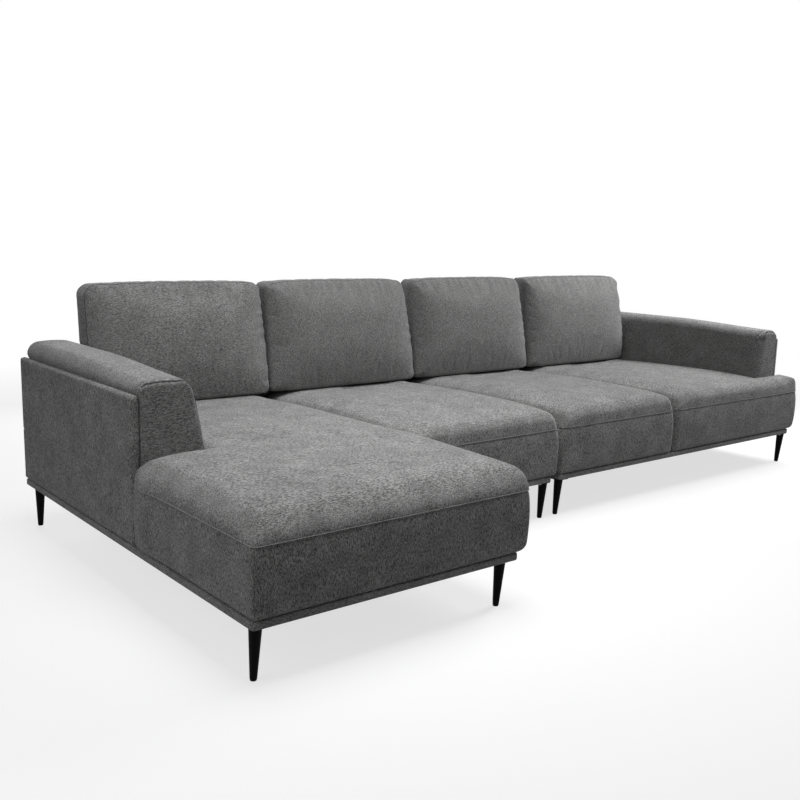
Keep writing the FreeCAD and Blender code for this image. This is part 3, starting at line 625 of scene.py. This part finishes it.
def skin_over(name, blocks, voxel):
    """Blocks joined and remeshed into one even skin."""
    for block in blocks:
        block.select_set(True)
    if len(blocks) > 1:
        bpy.ops.object.join()
    piece = bpy.context.object
    remesh = piece.modifiers.new("even_skin", "REMESH")
    remesh.mode = "VOXEL"
    remesh.voxel_size = voxel
    bpy.ops.object.modifier_apply(modifier=remesh.name)
    piece.name = name
    return piece


def round_join(one, other, radius):
    """Two outward distances joined with a round edge."""
    return np.minimum(np.maximum(one, other), -radius) + np.hypot(
        np.maximum(one + radius, 0), np.maximum(other + radius, 0)
    )


def score(piece, plane_normal, places):
    """Edge loops where planes cut a skin, so that a seam's groove comes out fine."""
    bpy.ops.object.mode_set(mode="EDIT")
    for place in places:
        bpy.ops.mesh.select_all(action="SELECT")
        bpy.ops.mesh.bisect(plane_co=place, plane_no=plane_normal)
    bpy.ops.object.mode_set(mode="OBJECT")


def draw_over(piece, form, passes):
    """Move a skin's points along the form's slope until they lie on it."""
    points = points_of(piece)
    step = 0.0004
    for _ in range(passes):
        here = form(points)
        slope = np.stack([(form(points + axis * step) - here) / step for axis in np.eye(3)], axis=1)
        points -= slope * (here / np.maximum((slope ** 2).sum(axis=1), 0.3))[:, None]
    piece.data.vertices.foreach_set("co", points.ravel())
    piece.data.update()


def cover(piece, body, nodes, cut):
    """Dress a padded piece in the sofa's cloth and fix it to its unit."""
    bpy.ops.object.select_all(action="DESELECT")
    piece.select_set(True)
    bpy.context.view_layer.objects.active = piece
    bpy.ops.object.shade_smooth()
    piece.data.materials.clear()
    piece.data.materials.append(cloths[cut])
    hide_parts(*nodes)
    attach(piece, body)


def seam_along(piece, name, body, plane_point, plane_normal, wanted, radius, material):
    """A sewn welt where a plane cuts the cover, kept where a rule wants it."""
    bpy.ops.object.select_all(action="DESELECT")
    welt = piece.copy()
    welt.data = piece.data.copy()
    scene.collection.objects.link(welt)
    welt.name = name
    welt.select_set(True)
    bpy.context.view_layer.objects.active = welt
    bpy.ops.object.mode_set(mode="EDIT")
    bpy.ops.mesh.select_all(action="SELECT")
    bpy.ops.mesh.bisect(
        plane_co=plane_point,
        plane_no=plane_normal,
        clear_inner=True,
        clear_outer=True,
        threshold=0.00001,
    )
    bpy.ops.mesh.select_all(action="SELECT")
    bpy.ops.mesh.remove_doubles(threshold=0.0012)
    bpy.ops.mesh.delete(type="ONLY_FACE")
    bpy.ops.mesh.select_mode(type="VERT")
    bpy.ops.mesh.select_all(action="DESELECT")
    bpy.ops.object.mode_set(mode="OBJECT")
    for vertex in welt.data.vertices:
        vertex.select = not wanted(*vertex.co)
    bpy.ops.object.mode_set(mode="EDIT")
    bpy.ops.mesh.delete(type="VERT")
    bpy.ops.object.mode_set(mode="OBJECT")
    bpy.ops.object.convert(target="CURVE")
    welt = bpy.context.object
    welt.data.bevel_depth = radius
    welt.data.bevel_resolution = 2
    welt.data.use_fill_caps = True
    bpy.ops.object.convert(target="MESH")
    welt = bpy.context.object
    bpy.ops.object.shade_smooth()
    welt.data.materials.clear()
    welt.data.materials.append(material)
    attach(welt, body)


def bump(distance, reach):
    """A smooth hump, 1 in its middle and gone at about twice its reach."""
    return np.exp(-((distance / reach) ** 2))


def ease(value, low, high):
    """A smooth step from 0 at low to 1 at high."""
    share = np.clip((value - low) / (high - low), 0, 1)
    return share * share * (3 - 2 * share)


def roll_off(distance, reach, drop):
    """How far a seat's top falls towards an edge that is some distance away."""
    return drop * np.clip(1 - distance / reach, 0, 1.2) ** 2


clearance, joint_gap = 0.001, 0.0005
seam_z = place_of("border_second_front")[1][2]
seat_floor = place_of("border_second_front")[0][2] + clearance
seat_front = place_of("border_second_front")[0][1]
chaise_front = place_of("border_chaise_front")[0][1]
seat_rear = place_of("seat_cushion_second")[1][1]
sofa_left = place_of("border_left")[0][0]
chaise_right = place_of("border_chaise_front")[1][0]
joint_a = place_of("border_joint_a")[1][0]
joint_b = place_of("border_joint_b")[0][0]
third_right = place_of("seat_cushion_third")[1][0] + clearance
sofa_right = place_of("border_end_front")[1][0]
right_arm_face = place_of("side_panel_right")[1][0]
arm_fronts = {
    "left": place_of("side_panel_left")[0][1] + 0.012,
    "right": place_of("side_panel_right")[0][1] - 0.006,
}
arm_feet = {"left": 0.2355, "right": 0.2065}
rest_y, rest_z = 0.584, 0.432
block_top = 0.436
crown_rise, unevenness = 0.0135, 0.0014
pull_y, pull_depth, pull_reach = 0.600, 0.018, 0.028
crease_depth, crease_reach, sag = 0.010, 0.010, 0.007
seam_reach, welt_radius, seam_shade_line_radius = 0.012, 0.0014, 0.0006
corner_radii = {
    "left": (0.014, 0.016, 0.050),
    "": (0.032, 0.030, 0.036),
    "right": (0.032, 0.010, 0.050),
}
hem_radius = 0.010
shoulders = {"left": (0.042, 0.016), "": (0.032, 0.010), "right": (0.032, 0.021)}


def seat_form(left, right, front, arm_side, pull_x):
    """The padded form of one seat block as a signed distance."""
    chaise = arm_side == "left"
    arm_lines = {
        "left": sofa_left + arm_feet["left"],
        "right": right_arm_face - arm_feet["right"],
    }
    arm_line = arm_lines.get(arm_side)
    arm_front = arm_fronts.get(arm_side, 0.0)
    shift = left * 5

    def before_arm(y):
        """1 where the seat is free in front of its arm, 0 beside the arm."""
        return 1 - ease(y, arm_front - 0.03, arm_front + 0.03)

    def before_seats(y):
        """1 where the chaise stands out in front of the other seats, 0 beside them."""
        return 1 - ease(y, seat_front - 0.05, seat_front + 0.10)

    def top_height(x, y):
        """The crowned top, falling to its edges, with the pull or crease at the back."""
        depth = np.clip((y - front) / (rest_y - front), 0, 1)
        crown = rest_z + crown_rise * np.sin(np.pi * depth) ** 0.7
        crown += unevenness * np.sin(9.1 * x + 3.0 * y + shift) * np.cos(7.3 * y - 2.0 * x)
        front_drop = 0.020 if chaise else 0.010
        if arm_side:
            front_drop = front_drop * (1 - 0.65 * ease(x, right - 0.16, right - 0.03))
        crown -= roll_off(y - front, reach=0.15, drop=front_drop)
        if chaise:
            crown -= roll_off(x - left, reach=0.16, drop=0.020) * before_arm(y)
            crown -= roll_off(x - arm_line, reach=0.07, drop=0.012) * (1 - before_arm(y))
        else:
            crown -= roll_off(x - left, reach=0.16, drop=0.036)
        if arm_side == "right":
            crown -= roll_off(right - x, reach=0.10, drop=0.007) * before_arm(y)
            crown -= roll_off(arm_line - x, reach=0.07, drop=0.003) * (1 - before_arm(y))
        else:
            free = before_seats(y) if chaise else 0.0
            crown -= roll_off(right - x, reach=0.105, drop=0.027 - 0.015 * free)
        if pull_x is not None:
            side = x - pull_x
            crown -= pull_depth * bump(np.hypot(side, (y - pull_y) * 1.1), pull_reach)
            line = 0.598 - 0.050 * ease(side, 0.0, 0.17)
            fade = ease(side, -0.01, 0.02) * (1 - ease(side, 0.10, 0.30))
            crown -= crease_depth * bump(y - line, crease_reach) * fade
            crown -= (
                sag
                * ease(y - line, 0.0, 0.05)
                * ease(side, -0.02, 0.05)
                * (1 - ease(side, 0.22, 0.34))
            )
        elif chaise:
            side = x - arm_line
            line = 0.515 + 0.035 * ease(side, 0.02, 0.30)
            fade = 1 - ease(side, 0.16, 0.34)
            crown -= 0.006 * bump(y - line, 0.012) * fade
            crown -= 0.010 * ease(y - line, 0.0, 0.06) * fade
        return crown

    def form(points):
        x, y, z = points.T
        above = np.clip((z - seam_z) / 0.06, 0, 1)
        below = np.clip((seam_z - z) / (seam_z - seat_floor), 0, 1)
        fullness = 0.0045 * np.sin(np.pi * below ** 0.8) - 0.006 * above ** 2
        lapped = 0.0009 * np.tanh((z - seam_z) / 0.0012) * bump(z - seam_z, seam_reach)
        groove = 0.0016 * bump(z - seam_z + 0.0016, 0.0026)
        flesh = fullness + lapped - groove
        sloped = ease(z, seam_z, rest_z + 0.02)
        parted = 0.005 * ease(z, seam_z - 0.06, seam_z + 0.03)
        parted += 0.015 * bump(np.hypot(y - front, z - rest_z + 0.020), 0.048)

        wall_front = front + 0.001 - flesh - y + (0.030 if chaise else 0.005) * sloped
        if chaise:
            full = 0.007 * bump(y - (arm_front - 0.085), 0.060) - 0.004 * bump(y - arm_front, 0.012)
            wall_left = left - x - (flesh - 0.001 + full - 0.018 * sloped) * before_arm(y)
            wall_right = x - right + 0.0015 - (flesh - 0.001) * before_seats(y)
            wall_right += parted * (1 - before_seats(y))
        else:
            wall_left = left - x - (flesh - 0.002) + parted
            wall_right = x - right + 0.0015 - (flesh - 0.001) * 0.4 + parted
        if arm_side == "right":
            wall_right = x - right + 0.001 - flesh - 0.007 * bump(z - 0.408, 0.022)

        ground = seat_floor - z
        left_corner, right_corner, lower_corner = corner_radii[arm_side]
        form = round_join(wall_front, wall_left, left_corner)
        form = round_join(form, wall_right, right_corner)
        form = np.maximum(form, round_join(wall_right, ground, lower_corner))
        form = np.maximum(form, round_join(wall_front, ground, hem_radius))
        form = np.maximum(form, round_join(wall_left, ground, hem_radius))
        form = np.maximum(form, y - seat_rear)
        if arm_side:
            way = 1 if chaise else -1
            notch = np.minimum(way * (arm_line - x), y - arm_front + joint_gap)
            form = np.maximum(form, notch)
        shoulder, tighter = shoulders[arm_side]
        shoulder = shoulder - tighter * ease(x, right - 0.09, right - 0.02)
        if not chaise:
            shoulder = shoulder + 0.004 * ease(-x, -left - 0.09, -left - 0.02)
        form = round_join(form, z - top_height(x, y), shoulder)
        if chaise:
            corner = np.hypot(x - left - 0.02, y - front - 0.02)
            form = form + 0.005 * bump(corner, 0.03) * bump(z - 0.396, 0.012)
        return form

    return form


for name, left, right, front, arm_side, pull, body, nodes in (
    (
        "chaise_cover",
        sofa_left,
        chaise_right,
        chaise_front,
        "left",
        None,
        "chaise_unit",
        ("seat_cushion_chaise", "border_chaise_front", "border_chaise_right"),
    ),
    (
        "second_seat_cover",
        chaise_right + joint_gap,
        joint_a,
        seat_front,
        "",
        -0.419,
        "chaise_unit",
        ("seat_cushion_second", "border_second_front", "border_joint_a"),
    ),
    (
        "third_seat_cover",
        joint_b,
        third_right,
        seat_front,
        "",
        0.326,
        "end_unit",
        ("seat_cushion_third", "border_third_front", "border_joint_b"),
    ),
    (
        "end_seat_cover",
        third_right + joint_gap,
        sofa_right,
        seat_front,
        "right",
        1.056,
        "end_unit",
        ("seat_cushion_end", "border_end_front"),
    ),
):
    low = (left, front, seat_floor)
    high = (right, seat_rear, block_top)
    boxes = [(low, high)]
    if arm_side:
        free_end = (right, arm_fronts[arm_side] - 0.002, block_top)
    if arm_side == "left":
        boxes = [(low, free_end), ((left + arm_feet["left"], front + 0.1, seat_floor), high)]
    if arm_side == "right":
        inner_end = (right_arm_face - arm_feet["right"], seat_rear, block_top)
        boxes = [(low, free_end), ((left, front + 0.05, seat_floor), inner_end)]
    seat = skin_over(name, [add_box(name, *ends) for ends in boxes], voxel=0.008)
    loops = [(0, 0, seam_z + offset) for offset in (-0.0055, -0.0016, 0.0004, 0.0026)]
    score(seat, (0, 0, 1), loops)
    draw_over(seat, seat_form(left, right, front, arm_side, pull), passes=9)
    cover(seat, body, nodes, "upright")

    def on_outside(x, y, z):
        if arm_side == "left":
            at_wall = x < left + 0.02 or y < front + 0.03 or x > right - 0.02
            return y < arm_fronts["left"] + 0.01 and at_wall
        at_end = arm_side == "right" and x > right - 0.02 and y < arm_fronts["right"]
        return y < front + 0.03 or at_end

    # The welt is dressed in the paler cloth: a painted highlight along the seam's raised edge.
    seam_along(
        seat,
        name + "_seam",
        body,
        (0, 0, seam_z + 0.0018),
        (0, 0, 1),
        on_outside,
        welt_radius,
        cloths["welt_painted_highlight"],
    )
    if arm_side == "left":
        # The corner seam is a near-black line: painted shade in the corner's groove.
        seam_along(
            seat,
            name + "_corner_seam",
            body,
            (left, front, 0),
            (1, -1, 0),
            lambda x, y, z: seat_floor + 0.01 < z < seam_z - 0.004 and x < left + 0.04,
            seam_shade_line_radius,
            thread_and_seam_shade,
        )


# Outer panels: thin boards wrapped in the cloth, round the sides and the back.
# The wrap is tight, with a soft rounded upper edge and a sewn line at the seats' seam height.
panel_edge, panel_rear_edge, panel_foot, panel_face = 0.006, 0.008, 0.005, 0.008
panel_welt = 0.0012


def panel_form(low, high, top_radius, waviness):
    """A wrapped board's form as a signed distance."""
    def form(points):
        x, y, z = points.T
        ripple = waviness * np.sin(6.0 * (x + y)) * np.sin(9.0 * z)
        groove = 0.0024 * bump(z - seam_z, 0.0028) if low[2] < seam_z - 0.02 else 0.0
        form = round_join(low[0] - x + groove + ripple, low[1] - y + groove, panel_edge)
        form = round_join(form, x - high[0] + groove + ripple, panel_edge)
        form = round_join(form, y - high[1] + groove, panel_rear_edge)
        form = round_join(form, low[2] - z, panel_foot)
        return round_join(form, z - high[2], top_radius)

    return form


for name, upper, lower, body, extra in (
    ("side_cover_left", "side_panel_left", "border_left", "chaise_unit", ("border_left",)),
    ("side_cover_right", "side_panel_right", "border_right", "end_unit", ("border_right",)),
    ("back_cover_a", "back_panel_a", "back_panel_a", "chaise_unit", ()),
    ("back_cover_b", "back_panel_b", "back_panel_b", "end_unit", ()),
):
    low, high = place_of(upper)
    low[2] = place_of(lower)[0][2] + clearance
    if "side" in name:
        low[1] = arm_fronts["left" if "left" in name else "right"]
        if "left" in name:
            high[0] -= 0.005
        else:
            low[0] += 0.005
    elif body == "chaise_unit":
        high[0] = joint_a - joint_gap
    else:
        low[0] = joint_b + joint_gap
    panel = skin_over(name, [add_box(name, low, high)], voxel=0.009)
    loops = [(0, 0, seam_z + offset) for offset in (-0.005, -0.002, 0.0, 0.002, 0.005)]
    score(panel, (0, 0, 1), loops)
    draw_over(panel, panel_form(low, high, top_radius=0.0115, waviness=0.0006), passes=6)
    cover(panel, body, (upper, *extra), "upright")

    def outer_face(x, y, z):
        if "side" in name:
            left_side = "left" in name
            return x < low[0] + panel_face if left_side else x > high[0] - panel_face
        return y > high[1] - panel_face

    # The welt is dressed in the paler cloth: a painted highlight along the seam's raised edge.
    seam_along(
        panel,
        name + "_seam",
        body,
        (0, 0, seam_z + 0.0015),
        (0, 0, 1),
        outer_face,
        panel_welt,
        cloths["welt_painted_highlight"],
    )

# Back pads: the low foam wall between the arms that the loose cushions lean on.
# The same cloth is pulled over it and tucked down behind the seats.
for name, node, body in (
    ("back_pad_cover_a", "back_pad_a", "chaise_unit"),
    ("back_pad_cover_b", "back_pad_b", "end_unit"),
):
    low, high = place_of(node)
    if body == "chaise_unit":
        high[0] = joint_a - joint_gap
    else:
        low[0] = joint_b + joint_gap
    pad = skin_over(name, [add_box(name, low, high)], voxel=0.009)
    draw_over(pad, panel_form(low, high, top_radius=0.018, waviness=0.0), passes=6)
    cover(pad, body, (node,), "level")


# Arms: foam round an upright board, full over the panel's edge, crowned on top and slanted
# down inside. The front is a separate flat panel sewn in, soft on the inner side; its seam is a
# near-black thread line that paints the shade of the seam's groove.
arm_foot_z, arm_shoulder_z, arm_top_z = 0.330, 0.632, 0.655
slant_run, slant_rise, slant_length = 45, 212, 216.7
arm_edge, shell_edge, front_edge = 0.034, 0.040, 0.010
front_seam, front_groove, groove_reach = 0.006, 0.0026, 0.0020


def arm_form(outer, way, low, high, shoulder_out, soft):
    """An arm's padded form as a signed distance; way is 1 for the left arm."""
    def form(points):
        x, y, z = points.T
        out = way * (x - outer)
        length = np.clip((y - low[1]) / (high[1] - low[1]), 0, 1)
        crown = arm_top_z + 0.020 * ease(length, -0.05, 0.6)
        crown += 0.005 * (1 - ((out - 0.100) / 0.07) ** 2)
        shell = 0.0258 - 0.0128 * ease(z, 0.602, 0.632) - out
        slant = (out - shoulder_out) * slant_rise + (z - arm_shoulder_z) * slant_run
        inner = slant / slant_length - 0.002 * np.sin(np.pi * length)
        rear = y - high[1] - 0.016 * ease(z, 0.598, 0.628)
        form = round_join(inner, z - crown, arm_edge)
        form = round_join(form, shell, shell_edge)
        form = round_join(form, rear, arm_edge)
        sewn_in = front_groove * bump(y - low[1] - front_seam, groove_reach)
        if way < 0:
            sewn_in = sewn_in * ease(z, 0.590, 0.610)
        inner_edge = ease(out, shoulder_out - 0.06, shoulder_out - 0.015)
        upper_edge = ease(z, 0.610, 0.650) * (1 - inner_edge)
        front_radius = front_edge + soft * inner_edge + 0.012 * upper_edge
        form = round_join(form + sewn_in, low[1] - y, front_radius)
        if way < 0:
            corner = np.hypot(out - shoulder_out + 0.022, z - 0.612)
            form = form + 0.007 * bump(corner, 0.014) * bump(y - low[1], 0.03)
        return np.maximum(form, low[2] - z)

    return form


for name, node, outer, way, shoulder_out, soft, body in (
    ("arm_cover_left", "arm_pad_left", sofa_left, 1, 0.1945, 0.002, "chaise_unit"),
    ("arm_cover_right", "arm_pad_right", right_arm_face, -1, 0.1635, 0.046, "end_unit"),
):
    low, high = place_of(node)
    low[1] = arm_fronts["left" if way > 0 else "right"] - 0.005
    low[2] = arm_foot_z
    block = add_box(name, low, high)
    push(
        block,
        lambda corner: corner.z > 0.5 and way * (corner.x - outer) > 0.1,
        (-0.041 * way, 0, 0),
    )
    arm = skin_over(name, [block], voxel=0.007)
    loops = [(0, low[1] + offset, 0) for offset in (0.002, 0.004, 0.006, 0.008, 0.011)]
    score(arm, (0, 1, 0), loops)
    draw_over(arm, arm_form(outer, way, low, high, shoulder_out, soft), passes=10)
    cover(arm, body, (node,), "level")
    # The front seam is a near-black line: painted shade in the groove round the front panel.
    seam_along(
        arm,
        name + "_front_seam",
        body,
        (0, low[1] + front_seam, 0),
        (0, 1, 0),
        lambda x, y, z: z > (0.41 if way > 0 else 0.606) and way * (x - outer) > 0.035,
        0.0011 if way > 0 else 0.0008,
        thread_and_seam_shade,
    )


# Loose back cushions: boxed covers with a gusset all round, stuffed full, leaning on the low back.
# Their fronts are crowned, their corners drawn in and their seams slightly puckered by the filling.
lean_run, gusset, frames = 0.066, 0.092, 20
swell_depth, pucker_depth, seam_shade_line_width = 0.040, 0.0012, 0.0012
rim_edge, side_edge, foot_edge, front_piping, rear_piping = 0.026, 0.036, 0.022, 0.012, 0.010
arm_gaps = {"left": 0.197, "right": 0.169}


def stuff(piece, hold, cap, slack):
    """Fill a cover: cloth under pressure, held where hold is high, moved by cap at most."""
    before = points_of(piece)
    sewn = piece.vertex_groups.new(name="sewn")
    for index, weight in enumerate(hold):
        sewn.add([index], float(weight), "REPLACE")
    filling = piece.modifiers.new("filling", "CLOTH")
    settings = filling.settings
    settings.quality = 5
    settings.mass = 0.3
    settings.tension_stiffness = 14
    settings.compression_stiffness = 14
    settings.shear_stiffness = 6
    settings.bending_stiffness = 0.4
    settings.use_pressure = True
    settings.uniform_pressure_force = 4
    settings.vertex_group_mass = sewn.name
    settings.pin_stiffness = 1
    settings.shrink_min = -slack
    settings.effector_weights.gravity = 0
    for number in range(1, frames + 1):
        scene.frame_set(number)
    bpy.ops.object.select_all(action="DESELECT")
    piece.select_set(True)
    bpy.context.view_layer.objects.active = piece
    bpy.ops.object.modifier_apply(modifier=filling.name)
    scene.frame_set(1)
    piece.vertex_groups.clear()
    moved = points_of(piece) - before
    far = np.linalg.norm(moved, axis=1)
    moved *= (np.minimum(far, cap) / np.maximum(far, 1e-9))[:, None]
    piece.data.vertices.foreach_set("co", (before + moved).ravel())
    piece.data.update()


lean_low, lean_high = place_of("back_cushion_second")
cushion_lean = lean_run / (lean_high[2] - lean_low[2])
cushion_rear = lean_high[1] - 0.0645
for name, node, body, arm_side in (
    ("loose_back_chaise", "back_cushion_chaise", "loose_cushion_chaise", "left"),
    ("loose_back_second", "back_cushion_second", "loose_cushion_second", ""),
    ("loose_back_third", "back_cushion_third", "loose_cushion_third", ""),
    ("loose_back_end", "back_cushion_end", "loose_cushion_end", "right"),
):
    low, high = place_of(node)
    seam = cushion_rear - gusset
    first = arm_side == "left"

    def arm_gap(x, z):
        """How far a point stands inside the arm's slanted face."""
        out = x - sofa_left if arm_side == "left" else right_arm_face - x
        out = out - arm_gaps[arm_side]
        return (-out * slant_rise - (z - arm_shoulder_z) * slant_run) / slant_length

    def pillow_form(points):
        x, y, z = points.T
        y = y - cushion_lean * (z - low[2])
        u = (x - (low[0] + high[0]) / 2) / ((high[0] - low[0]) / 2)
        v = (z - (low[2] + high[2]) / 2) / ((high[2] - low[2]) / 2)
        across, up = np.clip(np.abs(u), 0, 1), np.clip(np.abs(v), 0, 1)
        swell = swell_depth * (1 - across ** 3.0) ** 0.8 * (1 - up ** 3.0) ** 0.8
        drawn = ease(v, -0.6, 1.0)
        left = low[0] + 0.003 + 0.006 * drawn - x
        right = x - high[0] + 0.003 + (0.014 if first else 0.034) * drawn
        along_top = np.sin(118 * x + 3 * np.sin(23 * x + low[0]))
        along_side = np.sin(112 * z + 3 * np.sin(19 * z + low[0]))
        pucker = pucker_depth * along_top * bump(high[2] - z - 0.010, 0.024)
        pucker += pucker_depth * along_side * bump(right + 0.010, 0.026)
        if arm_side == "left":
            left = np.maximum(left, arm_gap(x, z) + 0.004)
        if arm_side == "right":
            right = np.maximum(right, arm_gap(x, z) + 0.004)
        rim = z - high[2] + 0.004 + 0.008 * across ** 3
        foot = low[2] + 0.002 - z
        outline = round_join(left, rim, 0.040 if first else rim_edge)
        outline = round_join(outline, right, side_edge)
        outline = round_join(outline, foot, foot_edge) + pucker
        soft_left = 0.0 if first else 0.020 * (1 - ease(x, low[0] + 0.02, low[0] + 0.10))
        form = round_join(outline, seam + 0.004 - swell - y + pucker, front_piping + soft_left)
        return round_join(form, y - cushion_rear, rear_piping)

    block = add_box(name, (low[0], seam - 0.02, low[2]), (high[0], cushion_rear, high[2]))
    push(block, lambda corner: corner.z > 0.6, (0, lean_run, 0))
    if arm_side:
        bpy.ops.object.mode_set(mode="EDIT")
        bpy.ops.mesh.select_all(action="SELECT")
        bpy.ops.mesh.bisect(plane_co=(0, 0, arm_shoulder_z), plane_no=(0, 0, 1))
        bpy.ops.object.mode_set(mode="OBJECT")
        way = 1 if arm_side == "left" else -1
        foot_x = low[0] if arm_side == "left" else high[0]
        push(
            block,
            lambda corner: corner.z < 0.6 and abs(corner.x - foot_x) < 0.01,
            (0.042 * way, 0, 0),
        )
    pillow = skin_over(name, [block], voxel=0.009)
    draw_over(pillow, pillow_form, passes=12)
    x, y, z = points_of(pillow).T
    level_y = y - cushion_lean * (z - low[2])
    front_hold = bump(level_y - seam - 0.012, 0.007)
    rear_hold = 0.9 * bump(level_y - cushion_rear, 0.012)
    hold = np.maximum(front_hold, rear_hold) * 0.85
    hold = np.maximum(hold, ease(low[2] + 0.02 - z, 0.0, 0.012))
    stuff(pillow, hold, cap=0.024, slack=0.006)
    points = points_of(pillow)
    points[:, 2] = np.clip(points[:, 2], low[2], high[2] + 0.004)
    points[:, 0] = np.clip(points[:, 0], low[0] - 0.0015, high[0] + 0.0015)
    level_y = points[:, 1] - cushion_lean * (points[:, 2] - low[2])
    points[:, 1] -= np.maximum(level_y - cushion_rear, 0)
    if arm_side:
        inside = np.maximum(arm_gap(points[:, 0], points[:, 2]), 0)
        points[:, 0] += inside * (1 if arm_side == "left" else -1)
    pillow.data.vertices.foreach_set("co", points.ravel())
    pillow.data.update()
    bpy.context.view_layer.objects.active = pillow
    finer = pillow.modifiers.new("finer", "SUBSURF")
    finer.levels = 1
    finer.render_levels = 1
    bpy.ops.object.modifier_apply(modifier=finer.name)
    cover(pillow, body, (node,), "level" if arm_side == "left" else "stretched")
    for label, depth in (("front_seam", 0.010), ("rear_seam", gusset - 0.008)):
        # Both seams are near-black lines: painted shade in the grooves where front and back meet
        # the gusset.
        seam_along(
            pillow,
            name + "_" + label,
            body,
            (0, seam + depth, low[2]),
            (0, 1, -cushion_lean),
            lambda x, y, z: first or label == "rear_seam" or x > low[0] + 0.03,
            seam_shade_line_width,
            thread_and_seam_shade,
        )
